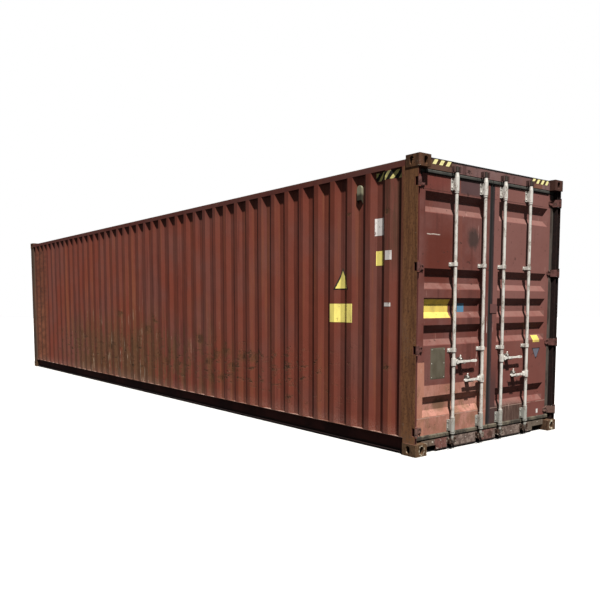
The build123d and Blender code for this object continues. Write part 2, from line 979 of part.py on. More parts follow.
def make_locking_bar(x, hand, height, node):
    """A turned bar with a cam at each end and a hub that carries the handle's pivot."""
    ear_front = leaf_face - handle_back + handle_gap
    pin_front = leaf_face - handle_back - handle_plate - handle_gap
    nose = bar_line + cam_nose_reach - cam_nose_radius
    with BuildPart() as bar:
        with BuildSketch(Plane((x, bar_line, 0), (1, 0, 0), (0, -1, 0))):
            with BuildLine():
                Polyline(*bar_profile(), close=True)
            make_face()
        revolve(axis=Axis((x, bar_line, 0), (0, 0, 1)))
        for cam in (low_cam, high_cam):
            with BuildSketch(Plane.XY.offset(cam)):
                with BuildLine():
                    Polyline(
                        (x - cam_hub_radius, bar_line),
                        (x + cam_hub_radius, bar_line),
                        (x + cam_nose_radius, nose),
                        (x - cam_nose_radius, nose),
                        close=True,
                    )
                make_face()
                with Locations((x, nose)):
                    Circle(cam_nose_radius)
            extrude(amount=cam_height)
        upright(x, bar_line, height - hub_height / 2, height + hub_height / 2, hub_radius)
        with BuildSketch(Plane.XZ.offset(-ear_front - ear_plate)):
            with BuildLine():
                Polyline(
                    (x, height - ear_height / 2),
                    (x + hand * pivot_from_bar, height - ear_height / 2),
                    (x + hand * ear_reach, height - ear_tip_height / 2),
                    (x + hand * ear_reach, height + ear_tip_height / 2),
                    (x + hand * pivot_from_bar, height + ear_height / 2),
                    (x, height + ear_height / 2),
                    close=True,
                )
            make_face()
        extrude(amount=ear_plate)
        across(
            x + hand * pivot_from_bar,
            (pin_front + ear_front) / 2,
            height,
            ear_front - pin_front,
            pivot_radius,
            along_y,
        )
    save(bar, node)


def make_handle(x, hand, height, length, node):
    """A flat lever with a round root and a spoon end, in front of its ear on the bar."""
    back = leaf_face - handle_back
    pivot = x + hand * pivot_from_bar
    end = x + hand * (length - handle_height / 2)
    upper = [(pivot + share * (end - pivot), half * handle_height) for share, half in handle_half_shares]
    outline = [(along, height + half) for along, half in upper]
    outline += [(end, height + handle_height / 2), (end, height - handle_height / 2)]
    outline += [(along, height - half) for along, half in reversed(upper)]
    with BuildPart() as handle:
        with BuildSketch(Plane.XZ.offset(-back)):
            with BuildLine():
                Polyline(*outline, close=True)
            make_face()
            with Locations((pivot, height)):
                Circle(handle_root_radius)
            with Locations((end, height)):
                Circle(handle_height / 2)
            with Locations((pivot, height)):
                Circle(pivot_radius + handle_gap, mode=Mode.SUBTRACT)
        extrude(amount=handle_plate)
    save(handle, node)


def make_handle_retainers(places, node):
    """A ledge under each handle and two ears that carry its catch."""
    with BuildPart() as retainers:
        for middle, height in places:
            ledge_top = height - handle_height / 2 - ledge_gap
            half = retainer_width / 2
            low = ledge_top - retainer_plate
            span = (middle - half, middle + half)
            block(*span, leaf_face - retainer_plate, leaf_face, low, height + retainer_rise)
            block(*span, leaf_face - ledge_front, leaf_face, low, ledge_top)
            for side in (-1, 1):
                inner = middle + side * (catch_width / 2 + catch_side_gap)
                block(
                    inner,
                    inner + side * retainer_plate,
                    leaf_face - catch_from_leaf - catch_pin_radius - retainer_plate,
                    leaf_face,
                    height + catch_rise - catch_pin_radius - retainer_plate,
                    height + catch_rise + catch_pin_radius + retainer_plate,
                )
                across(
                    inner + side * retainer_plate / 2,
                    leaf_face - catch_from_leaf,
                    height + catch_rise,
                    retainer_plate + overrun / 2,
                    catch_pin_radius + pin_clearance,
                    along_x,
                    mode=Mode.SUBTRACT,
                )
    save(retainers, node)


def make_catch(middle, height, node):
    """A finger like a letter A with a ball on top, on a cross pin, which turns forward over the handle."""
    line = leaf_face - catch_from_leaf
    pivot = height + catch_rise
    tip = pivot + catch_reach
    with BuildPart() as catch:
        with BuildSketch(Plane.XZ.offset(-line - catch_plate / 2)):
            with BuildLine():
                Polyline(
                    (middle - catch_foot / 2, pivot),
                    (middle + catch_foot / 2, pivot),
                    (middle + catch_tip / 2, tip),
                    (middle - catch_tip / 2, tip),
                    close=True,
                )
            make_face()
            with BuildLine():
                Polyline(
                    (middle - catch_window / 2, pivot + catch_window_rise),
                    (middle + catch_window / 2, pivot + catch_window_rise),
                    (middle, pivot + catch_window_reach),
                    close=True,
                )
            make_face(mode=Mode.SUBTRACT)
        extrude(amount=catch_plate)
        pin_length = catch_width + 2 * catch_side_gap + 2 * retainer_plate
        across(middle, line, pivot, pin_length, catch_pin_radius, along_x)
        across(middle, line, pivot, catch_width, catch_barrel_radius, along_x)
        with Locations((middle, line, tip)):
            Sphere(catch_ball_radius)
    save(catch, node)


def main():
    os.makedirs("parts", exist_ok=True)
    make_castings(-1, "corner_castings_rear")
    make_castings(1, "corner_castings_front")
    for x_side, name in ((-1, "left"), (1, "right")):
        make_side_wall(x_side, f"side_wall_{name}")
        make_top_side_rail(x_side, f"top_side_rail_{name}")
        make_bottom_side_rail(x_side, f"bottom_side_rail_{name}")
        make_front_post(x_side, f"front_post_{name}")
        make_rear_post(x_side, f"rear_post_{name}")
        make_door_frame(x_side, f"door_frame_{name}")
        make_door_panel(x_side, f"door_panel_{name}")
        make_door_gasket(x_side, f"door_gasket_{name}")
        make_door_hinges(x_side, f"door_hinges_{name}")
    make_front_wall()
    make_front_top_rail()
    make_front_bottom_rail()
    make_roof()
    make_floor()
    make_cross_members()
    make_gooseneck_tunnel()
    make_door_header()
    make_door_sill()
    make_cam_keepers()
    make_ventilator(-1, -1, "ventilator_left")
    make_ventilator(1, 1, "ventilator_right")
    high = (leaf_low + high_handle_rise, high_handle_length, high_retainer_from_bar)
    low = (leaf_low + low_handle_rise, low_handle_length, low_retainer_from_bar)
    bars = (
        ("left_outer", -bar_outer_offset, 1, *high),
        ("left_inner", -bar_inner_offset, -1, *low),
        ("right_inner", bar_inner_offset, 1, *high),
        ("right_outer", bar_outer_offset, -1, *low),
    )
    for name, x, hand, height, length, retainer in bars:
        make_locking_bar(x, hand, height, f"locking_bar_{name}")
        make_handle(x, hand, height, length, f"bar_handle_{name}")
        make_catch(x + hand * retainer, height, f"handle_catch_{name}")
    for name, pair in (("left", bars[:2]), ("right", bars[2:])):
        make_bar_brackets([row[1] for row in pair], f"bar_brackets_{name}")
        places = [(row[1] + row[2] * row[5], row[3]) for row in pair]
        make_handle_retainers(places, f"handle_retainers_{name}")


main()
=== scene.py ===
import math

import bpy
import numpy as np
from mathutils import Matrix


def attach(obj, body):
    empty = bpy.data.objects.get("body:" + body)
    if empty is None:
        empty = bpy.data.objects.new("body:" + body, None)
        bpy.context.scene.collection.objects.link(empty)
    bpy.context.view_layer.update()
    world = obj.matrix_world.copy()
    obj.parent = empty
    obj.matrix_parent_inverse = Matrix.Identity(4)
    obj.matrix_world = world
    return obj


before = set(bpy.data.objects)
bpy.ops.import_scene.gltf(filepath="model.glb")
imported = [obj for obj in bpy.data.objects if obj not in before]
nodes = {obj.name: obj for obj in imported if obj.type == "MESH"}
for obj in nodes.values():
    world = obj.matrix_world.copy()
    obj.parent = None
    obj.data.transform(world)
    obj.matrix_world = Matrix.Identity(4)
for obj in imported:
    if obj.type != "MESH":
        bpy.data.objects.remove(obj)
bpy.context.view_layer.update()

print("frame: loaded", len(nodes), "nodes")

view = {
    "place": (-6.0131, -10.4378, 1.4897),
    "turn": 37.9,  # degrees from +Y towards +X
    "drop": 4.81,  # degrees below level
    "lens": 40.14,
    "shift": 0.0995,
}


def addPiece(name, data):
    piece = bpy.data.objects.new(name, data)
    bpy.context.scene.collection.objects.link(piece)
    return piece


camera = addPiece("camera", bpy.data.cameras.new("camera"))
camera.data.lens = view["lens"]
camera.data.sensor_width = 36
camera.data.shift_y = view["shift"]
camera.data.clip_end = 200
camera.location = view["place"]
camera.rotation_euler = (math.radians(90 - view["drop"]), 0, -math.radians(view["turn"]))
bpy.context.scene.camera = camera

studio = {
    "sky": (0.93, 0.96, 1.0),
    "skyPower": 0.16,
    "backdrop": (1.0, 1.0, 1.0),  # what the camera sees behind the container
    # each lamp: power, colour, degrees from +Y towards +X that its light travels, height, spread
    "lamps": {
        "key": (8.4, (1.0, 0.97, 0.93), 27.5, 60, 2.2),
        "fill": (4.0, (0.95, 0.97, 1.0), 222, 26, 30),
    },
    "floor": (0.5, 0.5, 0.495),
    "floorReach": 60,
    "floorPoints": 41,
    "floorDrop": 0.002,  # just under the container
    "floorUnder": (0.03, 0.028, 0.027),  # what light meets, so that shade stays deep
}


class Wire:
    # a socket of a material; arithmetic on it adds Math nodes
    def __init__(self, coat, socket):
        self.coat = coat
        self.socket = socket

    def math(self, operation, first, second):
        return self.coat.node("ShaderNodeMath", {"operation": operation}, {0: first, 1: second})

    def __add__(self, other):
        return self.math("ADD", self, other)

    def __sub__(self, other):
        return self.math("SUBTRACT", self, other)

    def __rsub__(self, other):
        return self.math("SUBTRACT", other, self)

    def __mul__(self, other):
        return self.math("MULTIPLY", self, other)

    def __truediv__(self, other):
        return self.math("DIVIDE", self, other)

    def __pow__(self, other):
        return self.math("POWER", self, other)

    def __abs__(self):
        return self.math("ABSOLUTE", self, 0)

    __radd__ = __add__
    __rmul__ = __mul__


class Finish:
    # one material; node() adds any node, with its settings set before its sockets
    def __init__(self, name):
        self.material = bpy.data.materials.new(name)
        self.material.use_nodes = True
        self.tree = self.material.node_tree
        self.shader = self.tree.nodes["Principled BSDF"]
        self.place = self.node("ShaderNodeTexCoord", output="Object")
        self.x, self.y, self.z = (
            self.node("ShaderNodeSeparateXYZ", {}, {0: self.place}, axis) for axis in "XYZ"
        )

    def node(self, kind, settings=None, sockets=None, output=0):
        made = self.tree.nodes.new(kind)
        for name, value in (settings or {}).items():
            setattr(made, name, value)
        for name, value in (sockets or {}).items():
            self.feed(made.inputs[name], value)
        return Wire(self, made.outputs[output])

    def feed(self, socket, value):
        if isinstance(value, Wire):
            self.tree.links.new(value.socket, socket)
        elif socket.type == "RGBA" and len(value) == 3:
            socket.default_value = (*value, 1)
        else:
            socket.default_value = value

    def noise(self, scale, stretch=(1, 1, 1), detail=3, rough=0.5, shift=0):
        place = self.node(
            "ShaderNodeVectorMath",
            {"operation": "MULTIPLY_ADD"},
            {0: self.place, 1: stretch, 2: (shift, shift, shift)},
        )
        sockets = {"Vector": place, "Scale": scale, "Detail": detail, "Roughness": rough}
        return self.node("ShaderNodeTexNoise", {}, sockets)

    def lay(self, color, share):
        # puts a colour over what the coat has so far
        self.color = mix(self.color, color, share)

    def done(self, rough, height=None, depth=0.001, metal=0.0, shine=0.2):
        self.feed(self.shader.inputs["Base Color"], self.color)
        self.feed(self.shader.inputs["Roughness"], rough)
        self.feed(self.shader.inputs["Metallic"], metal)
        self.shader.inputs["Specular IOR Level"].default_value = shine
        if height is not None:
            bump = self.node("ShaderNodeBump", {}, {"Height": height, "Distance": depth, "Strength": 1.0})
            self.feed(self.shader.inputs["Normal"], bump)
        return self.material


def start(name):
    coat = Finish(name)
    return coat, coat.x, coat.y, coat.z


def add(kind, settings, sockets, output=0):
    # a node in the material that its first wire belongs to
    coat = next(value.coat for value in sockets.values() if isinstance(value, Wire))
    return coat.node(kind, settings, sockets, output)


def step(value, low, high):
    # zero below low, one above high, a smooth rise between
    return add("ShaderNodeMapRange", {"interpolation_type": "SMOOTHSTEP"}, {0: value, 1: low, 2: high})


def fall(value, low, high):
    return 1 - step(value, low, high)


def band(value, low, high, soft):
    return step(value, low - soft, low + soft) * fall(value, high - soft, high + soft)


def patch(across, up, area, soft):
    # one inside a rectangle; area is its ends across and its ends up
    return band(across, *area[0], soft) * band(up, *area[1], soft)


def away(across, up, middle, squash):
    # distance from a point: the root of squash * across squared + up squared
    across, up = across - middle[0], up - middle[1]
    return (across * across * squash + up * up) ** 0.5


def wrap(value, period):
    return add("ShaderNodeMath", {"operation": "WRAP"}, {0: value, 1: period, 2: 0})


def least(first, second):
    return add("ShaderNodeMath", {"operation": "MINIMUM"}, {0: first, 1: second})


def most(first, second):
    return add("ShaderNodeMath", {"operation": "MAXIMUM"}, {0: first, 1: second})


def mix(first, second, share):
    # colours mixed by share; each is three numbers or a wire
    first, second = (color if isinstance(color, Wire) else (*color, 1) for color in (first, second))
    return add("ShaderNodeMix", {"data_type": "RGBA"}, {0: share, 6: first, 7: second}, output=2)


shapes = {
    "sideFace": 1.213,
    "sideDepth": 0.034,
    "firstRidge": -5.713,
    "ridge": 0.072,
    "slope": 0.068,
    "pitch": 0.278,
    "ridges": 42,
    "leafFace": -6.016,
    "rearFace": -6.026,
    "leafLow": 0.181,
    "leafHigh": 2.736,
    "recessShares": (0.1108, 0.3883, 0.4939, 0.6063, 0.8963),
    "recessSlope": 0.062,
    "recessFloor": 0.08,
    "recessDepth": 0.042,
    "bars": (-0.633, -0.17, 0.17, 0.633),
    "hinges": (0.24, 1.04, 1.84, 2.64),
}

# the side wall's outer face as x over y, and the door's face as y over z, both folded lines
ridgeStarts = shapes["firstRidge"] + shapes["pitch"] * np.arange(shapes["ridges"])
foldSteps = np.cumsum([-shapes["slope"], shapes["slope"], shapes["ridge"], shapes["slope"]])
wallAlong = (ridgeStarts[:, None] + foldSteps).ravel()
wallIn = np.tile([shapes["sideDepth"], 0, 0, shapes["sideDepth"]], shapes["ridges"])
leafHeight = shapes["leafHigh"] - shapes["leafLow"]
recessMiddles = shapes["leafLow"] + leafHeight * np.array(shapes["recessShares"])
recessHalf = shapes["recessFloor"] / 2
recessSteps = np.array([-1, 0, 0, 1]) * shapes["recessSlope"] + np.array([-1, -1, 1, 1]) * recessHalf
doorUp = (recessMiddles[:, None] + recessSteps).ravel()
doorIn = np.tile([0, shapes["recessDepth"], shapes["recessDepth"], 0], len(recessMiddles))


def wallX(along):
    return shapes["sideFace"] - np.interp(along, wallAlong, wallIn)


def doorY(up):
    return shapes["leafFace"] + np.interp(up, doorUp, doorIn)


def newMesh(name, points, faces, material):
    mesh = bpy.data.meshes.new(name)
    mesh.from_pydata(points.reshape(-1, 3).tolist(), [], faces.tolist())
    mesh.materials.append(material)
    return addPiece(name, mesh)


def addMesh(name, points, faces, body, material, smooth=False):
    piece = newMesh(name, points, faces, material)
    piece.data.polygons.foreach_set("use_smooth", np.full(len(faces), smooth))
    piece.data.update()
    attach(piece, body)
    return piece


def gridFaces(rows, columns, around=False):
    # quads between neighbouring points of a grid whose points are numbered row by row
    last = columns if around else columns - 1
    row, column = np.meshgrid(np.arange(rows - 1), np.arange(last), indexing="ij")
    nextColumn = (column + 1) % columns
    corners = [row * columns + column, row * columns + nextColumn]
    corners += [(row + 1) * columns + nextColumn, (row + 1) * columns + column]
    return np.stack(corners, -1).reshape(-1, 4)


def tubeFaces(rings, sides):
    # a grid closed round, with quads over both ends; the number of sides is even
    corner = np.arange(1, sides - 1, 2)
    fan = np.stack([corner * 0, corner, corner + 1, corner + 2], -1)
    return np.vstack([gridFaces(rings, sides, around=True), fan[:, ::-1], fan + (rings - 1) * sides])


def circles(ahead, sides):
    # for each direction the points of a circle of radius 1 in the plane across it
    spare = np.where(np.abs(ahead[:, 2:]) > 0.9, [[1.0, 0, 0]], [[0, 0, 1.0]])
    side = np.cross(ahead, spare)
    side /= np.linalg.norm(side, axis=1, keepdims=True)
    up = np.cross(ahead, side)
    turn = 2 * np.pi * np.arange(sides) / sides
    return np.cos(turn)[:, None] * side[:, None] + np.sin(turn)[:, None] * up[:, None]


def bead(path, radius, sides):
    # a round bar: a circle of the given radius at each point of the path
    ahead = np.gradient(path, axis=0)
    ahead /= np.linalg.norm(ahead, axis=1, keepdims=True)
    points = path[:, None] + radius[:, None, None] * circles(ahead, sides)
    return points.reshape(-1, 3), tubeFaces(len(path), sides)


def heads(places, radius, height, sides):
    # bolt heads that face -Y: circles whose radius and height are shares of a head's
    axis = np.array([[0, -1.0, 0]])
    ringShares = np.array([1.35, 1.35, 1.0, 1.0, 0.8])
    heightShares = np.array([-0.1, 0.2, 0.22, 0.85, 1.0])
    one = radius * ringShares[:, None, None] * circles(axis, sides)
    one = one + height * heightShares[:, None, None] * axis
    points = np.asarray(places)[:, None, None] + one
    starts = np.arange(len(places)) * len(ringShares) * sides
    faces = tubeFaces(len(ringShares), sides) + starts[:, None, None]
    return points.reshape(-1, 3), faces.reshape(-1, 4)


def together(parts):
    # joins (points, faces) pairs into one pair
    starts = np.cumsum([0] + [len(points) for points, _ in parts[:-1]])
    points = np.vstack([points for points, _ in parts])
    faces = np.vstack([faces + start for (_, faces), start in zip(parts, starts)])
    return points, faces


paint = {
    "red": (0.148, 0.0345, 0.0205),
    "mauve": (0.133, 0.045, 0.034),
    "orange": (0.178, 0.056, 0.027),
    "deep": (0.07, 0.016, 0.012),
    "rust": (0.105, 0.04, 0.018),
    "darkRust": (0.018, 0.009, 0.006),
    "brown": (0.098, 0.044, 0.018),
    "dust": (0.26, 0.16, 0.13),
    "khaki": (0.124, 0.06, 0.029),
    "scratch": (0.42, 0.33, 0.24),
}


def weathered(coat, look):
    # broad fading, streaks that run down, and fine grain; returns the colour and the grain
    broad = coat.noise(look["broad"], detail=4, rough=0.6)
    runs = coat.noise(look["runs"], (1, 1, 0.045), detail=5, rough=0.65, shift=3)
    grain = coat.noise(75, detail=5, rough=0.75)
    color = mix(look["paint"], look["faded"], step(broad, 0.38, 0.66))
    color = mix(color, look["warm"], step(runs, 0.52, 0.7) * look["runShare"])
    color = mix(color, look["dark"], fall(runs, 0.3, 0.47) * look["runShare"])
    color = mix(color, look["pale"], step(grain, 0.5, 0.8) * 0.22)
    color = mix(color, look["dark"], fall(grain, 0.26, 0.44) * 0.35)
    return color, grain


wallZones = {
    # ends of each zone, with its softness where it has two sides
    "low": (0.65, 1.8),
    "middle": (-2.6, 4.2, 1.3),
    "worst": (-0.6, 3.0, 1.0),
    "beltUp": (0.3, 1.00, 0.18),
    "beltAlong": (-4.9, 4.6, 0.9),
    "grimeAlong": (-5.86, -5.62, 0.06),
    "grimeUp": (1.9, 2.75, 0.2),
    "farEnd": (4.95, 5.3),
    "foot": (0.17, 0.34),
    "head": (2.6, 2.8),
    "repainted": (((-5.355, -5.265), (1.16, 2.49)), ((-5.625, -5.535), (1.22, 1.63))),
}
# where the left wall was struck: along, up and how wide
knockPlaces = (
    (-5.67, 0.85, 0.05), (-5.67, 2.39, 0.04), (-5.11, 2.42, 0.03), (-3.29, 0.79, 0.1), (-3.03, 0.78, 0.1),
    (-2.78, 0.63, 0.1), (-2.58, 0.83, 0.1), (-2.49, 0.46, 0.1), (-2.34, 0.77, 0.1), (-2.22, 0.43, 0.1),
    (-2.14, 0.66, 0.1), (-1.89, 0.98, 0.1), (-0.83, 0.57, 0.1), (-0.55, 0.66, 0.1), (-0.4, 1.24, 0.1),
    (-0.13, 1.05, 0.1), (0.36, 0.74, 0.1), (0.97, 1.3, 0.1), (1.47, 0.71, 0.1),
)


def wallFinish():
    coat, x, y, z = start("wall_paint")
    look = {
        "broad": 0.8, "runs": 9, "paint": paint["red"],
        "faded": paint["mauve"], "warm": paint["orange"],
        "dark": paint["deep"], "pale": (0.24, 0.095, 0.068), "runShare": 0.7,
    }
    coat.color, grain = weathered(coat, look)
    outside = step(abs(x), 1.1, 1.15)
    left = fall(x, -1.0, -0.9)
    low = fall(z, *wallZones["low"])
    middle = band(y, *wallZones["middle"])
    worst = band(y, *wallZones["worst"])
    ridges = step(abs(x), 1.196, 1.208)
    streak = coat.noise(14, (1, 1, 0.08), detail=8, rough=0.8, shift=11)
    torn = coat.noise(3.2, detail=5, rough=0.6, shift=13)
    stain = streak + worst * low * 0.11 - ridges * 0.03 + (torn - 0.5) * 0.35
    stain = step(stain, 0.475, 0.585) * (low * middle) * outside
    khaki = mix(paint["khaki"], (0.062, 0.029, 0.013), step(grain, 0.42, 0.6))
    coat.lay(khaki, stain * 0.85)
    thin = coat.noise(40, (1, 1, 0.04), detail=5, rough=0.7, shift=5)
    bare = step(thin + worst * 0.055, 0.65, 0.685) * (low * middle) * step(torn, 0.44, 0.54)
    coat.lay(paint["scratch"], bare * 0.8)
    # knocks along the lower half, most on the ridges: dark rust in the middle of each, a brown halo round it
    knocks = coat.noise(5.2, (1, 1, 2.3), detail=9, rough=0.8, shift=7)
    hits = 0
    for along, up, wide in knockPlaces:
        reach = away(y, z, (along, up), 0.5) / wide
        hits = most(hits, fall(reach + (knocks - 0.5) * 4.5, 0.1, 1.0))
    hits = hits * left
    belt = band(z, *wallZones["beltUp"]) * band(y, *wallZones["beltAlong"])
    struck = knocks + belt * (0.035 + ridges * 0.03)
    scabs = step(struck, 0.645, 0.68) * most(belt, low * 0.35)
    scabs = most(scabs, step(hits, 0.62, 0.9) * step(thin, 0.46, 0.56) * 0.8)
    halo = most(step(struck, 0.56, 0.64) * (belt * 0.8), step(hits, 0.05, 0.6) * 0.75)
    coat.lay(paint["brown"], halo * 0.85)
    slits = fall(thin, 0.295, 0.33) * most(belt, low * 0.3) * step(torn, 0.4, 0.52)
    coat.lay(paint["darkRust"], most(scabs, slits) * 0.9)
    flecks = coat.noise(24, (1, 1, 0.6), detail=6, rough=0.8, shift=17)
    chips = step(flecks + step(struck, 0.55, 0.65) * 0.06, 0.67, 0.71) * (belt * (1 - scabs))
    coat.lay(paint["scratch"], chips * 0.5)
    # dark grime on the corner panel's upper part
    grime = band(y, *wallZones["grimeAlong"]) * band(z, *wallZones["grimeUp"])
    coat.lay((0.075, 0.034, 0.02), grime * step(streak, 0.36, 0.56) * 0.8)
    farEnd = step(y + (streak - 0.5) * 0.9, *wallZones["farEnd"])
    farEnd = farEnd * (1 - step(x, -1.19, -1.17) * 0.65)  # weaker on the other walls
    farUp = mix((0.06, 0.024, 0.015), (0.125, 0.044, 0.025), step(knocks, 0.4, 0.56))
    farLow = mix((0.085, 0.036, 0.02), (0.175, 0.066, 0.036), step(knocks, 0.42, 0.56))
    coat.lay(mix(farLow, farUp, step(z + knocks, 1.7, 2.3)), farEnd * 0.85)
    foot = fall(z + (knocks - 0.5) * 0.1, *wallZones["foot"])
    coat.lay(paint["dust"], foot * step(grain, 0.4, 0.62) * 0.4)
    head = step(z + (knocks - 0.5) * 0.2, *wallZones["head"])
    coat.lay(paint["deep"], head * 0.35)
    # paint a shade apart where older marks were painted over
    for area in wallZones["repainted"]:
        coat.lay((0.125, 0.034, 0.025), patch(y, z, area, 0.004) * left * 0.6)
    dents = coat.noise(1.9, (1, 1, 0.6), detail=3, rough=0.55)
    height = dents * 4 + grain * 0.14 - scabs * 0.6 + bare * 0.1
    height = height + step(struck, 0.58, 0.68) * belt * -1.4 - hits * 0.35
    rough = 0.58 + grain * 0.18 + stain * 0.12 + scabs * 0.2
    return coat.done(rough, height, 0.004)


def rustySteel(coat, look):
    # brown skin over old paint, with streaks, pits and a few pale chips
    streak = coat.noise(34, (1, 1, 0.09), detail=7, rough=0.75, shift=4)
    patches = coat.noise(3.1, (1, 1, 0.4), detail=8, rough=0.68, shift=2)
    pits = coat.noise(56, (1, 1, 0.6), detail=6, rough=0.85, shift=6)
    color = mix(look["dark"], look["light"], step(streak, 0.4, 0.6))
    color = mix(color, look["worn"], step(patches, 0.5, 0.66) * 0.7)
    color = mix(color, look["pit"], step(pits, 0.51, 0.62) * 0.85)
    color = mix(color, look["pit"], fall(streak, 0.3, 0.38) * 0.7)
    chips = step(pits + patches, 1.17, 1.23)
    color = mix(color, look["chip"], chips * 0.8)
    return color, patches, pits


def frameFinish():
    coat, x, y, z = start("frame_paint")
    look = {
        "broad": 0.9, "runs": 9, "paint": (0.115, 0.03, 0.022),
        "faded": (0.13, 0.05, 0.042), "warm": (0.145, 0.05, 0.033),
        "dark": (0.06, 0.017, 0.014), "pale": (0.2, 0.1, 0.08), "runShare": 0.5,
    }
    coat.color, grain = weathered(coat, look)
    skin = {
        "light": (0.215, 0.1, 0.037), "dark": (0.11, 0.05, 0.017), "worn": (0.19, 0.1, 0.047),
        "pit": (0.024, 0.012, 0.006), "chip": (0.46, 0.36, 0.26),
    }
    brown, patches, pits = rustySteel(coat, skin)
    # the near post's side face is rusted over; the far posts are dark olive with age
    near = fall(x, -1.2135, -1.212) * fall(y, -5.92, -5.84)
    far = fall(x, -1.15, -1.1) * step(y, 5.8, 5.92)
    coat.lay(brown, near * step(patches, 0.18, 0.32))
    olive = mix((0.058, 0.042, 0.028), (0.095, 0.048, 0.028), step(patches, 0.44, 0.58))
    coat.lay(olive, far * 0.9)
    coat.lay((0.09, 0.048, 0.022), near * step(z, 1.9, 2.7) * 0.35)
    # pale rubs on the near post's lower stretch and along its outer corner
    rubs = coat.noise(30, (1, 1, 0.25), detail=7, rough=0.8, shift=14)
    corner = near * most(fall(z, 0.5, 1.5), fall(y, -6.07, -6.02) * 0.8)
    coat.lay((0.44, 0.37, 0.29), step(rubs + corner * 0.03, 0.655, 0.7) * near * 0.75)
    scabs = step(patches + pits * 0.2, 0.7, 0.74)
    coat.lay(paint["rust"], scabs * 0.7)
    low = fall(z, 0.12, 0.3)
    coat.lay((0.17, 0.12, 0.085), low * step(pits, 0.45, 0.6) * 0.45)
    # the right rear post lies behind the door's edge: an olive grey strip like the gasket at its inner edge,
    # then painted shade in near black, all but its outer edge
    gasketAndShade = step(x, 1.15, 1.154) * fall(x + (pits - 0.5) * 0.006, 1.209, 1.214) * fall(y, -5.97, -5.96)
    # painted shade: near black where the post's rear face lies in shadow
    black = mix((0.007, 0.005, 0.005), (0.022, 0.01, 0.009), step(pits, 0.45, 0.6))
    coat.lay(mix((0.062, 0.053, 0.045), black, step(x, 1.158, 1.164)), gasketAndShade * 0.97)
    height = patches * 0.8 + grain * 0.12 + pits * 0.4 * near
    return coat.done(0.62 + grain * 0.2 + scabs * 0.12, height, 0.003)


def castingFinish():
    # cast steel: brown on the left, darker mauve brown on the right, edges of the slots chipped pale low down
    coat, x, y, z = start("casting_steel")
    low = fall(z, 0.5, 0.6)
    right = step(x, -0.1, 0.1)
    skin = {
        "light": (0.1, 0.046, 0.02), "dark": (0.05, 0.022, 0.01), "worn": (0.085, 0.035, 0.023),
        "pit": (0.016, 0.009, 0.006), "chip": (0.4, 0.36, 0.27),
    }
    coat.color, patches, pits = rustySteel(coat, skin)
    mauve = mix((0.078, 0.033, 0.026), (0.042, 0.017, 0.014), step(patches, 0.4, 0.6))
    coat.lay(mauve, right * 0.85)
    dusty = mix((0.125, 0.075, 0.04), (0.05, 0.028, 0.015), step(pits, 0.42, 0.6))
    coat.lay(dusty, low * 0.75)
    # cream scrapes round the lashing slots and at the outer corners of the bottom castings
    reach = away(abs(x), z, (1.13, 0.059), 1.6)
    scuff = coat.noise(22, detail=7, rough=0.75, shift=9)
    rim = band(reach, 0.034, 0.06, 0.01) * fall(y, -6.085, -6.075)
    side = band(x, -1.066, -1.035, 0.006)
    scraped = step(scuff + rim * (0.1 + right * 0.06) + side * 0.1 + low * 0.02, 0.64, 0.69) * low
    coat.lay((0.5, 0.46, 0.35), scraped * 0.85)
    height = patches * 0.7 + pits * 0.5 - scraped * 0.2
    return coat.done(0.66 + pits * 0.2, height, 0.003)


def topRailFinish():
    coat = Finish("top_rail_paint")
    z = coat.z
    look = {
        "broad": 0.9, "runs": 5, "paint": (0.092, 0.024, 0.018),
        "faded": (0.1, 0.036, 0.03), "warm": (0.12, 0.04, 0.026),
        "dark": (0.055, 0.016, 0.014), "pale": (0.17, 0.08, 0.065), "runShare": 0.5,
    }
    coat.color, grain = weathered(coat, look)
    chips = coat.noise(9, (1, 0.5, 1), detail=6, rough=0.7, shift=5)
    coat.lay((0.3, 0.17, 0.12), step(chips, 0.67, 0.7) * 0.8)
    edge = step(z + (chips - 0.5) * 0.02, 2.846, 2.862)
    coat.lay((0.15, 0.085, 0.06), edge * 0.6)
    return coat.done(0.6 + grain * 0.2, chips * 0.8 + grain * 0.1, 0.003)


def bottomRailFinish():
    # dust lies on the ledge at the wall's foot; the web under it stays dark and oily, and the black at its
    # foot is painted shadow for the shade beneath the container
    coat = Finish("bottom_rail_paint")
    y, z = coat.y, coat.z
    grain = coat.noise(60, detail=5, rough=0.7)
    patches = coat.noise(2.2, (1, 1, 0.8), detail=7, rough=0.7, shift=2)
    coat.color = mix((0.078, 0.022, 0.018), (0.036, 0.012, 0.011), step(patches, 0.38, 0.6))
    coat.lay((0.1, 0.045, 0.03), step(grain, 0.55, 0.7) * 0.5)
    # painted shadow: black along the web's foot, for the shade beneath the container
    foot = fall(z + (patches - 0.5) * 0.06, 0.028, 0.06)
    coat.lay((0.008, 0.005, 0.005), foot * 0.9)
    ledge = step(z + (grain - 0.5) * 0.004, 0.163, 0.168)
    dusty = mix((0.26, 0.16, 0.13), (0.13, 0.06, 0.042), step(patches + grain * 0.3, 0.56, 0.7))
    coat.lay(dusty, ledge)
    return coat.done(0.68 + grain * 0.2, patches * 0.6 + grain * 0.2, 0.003)


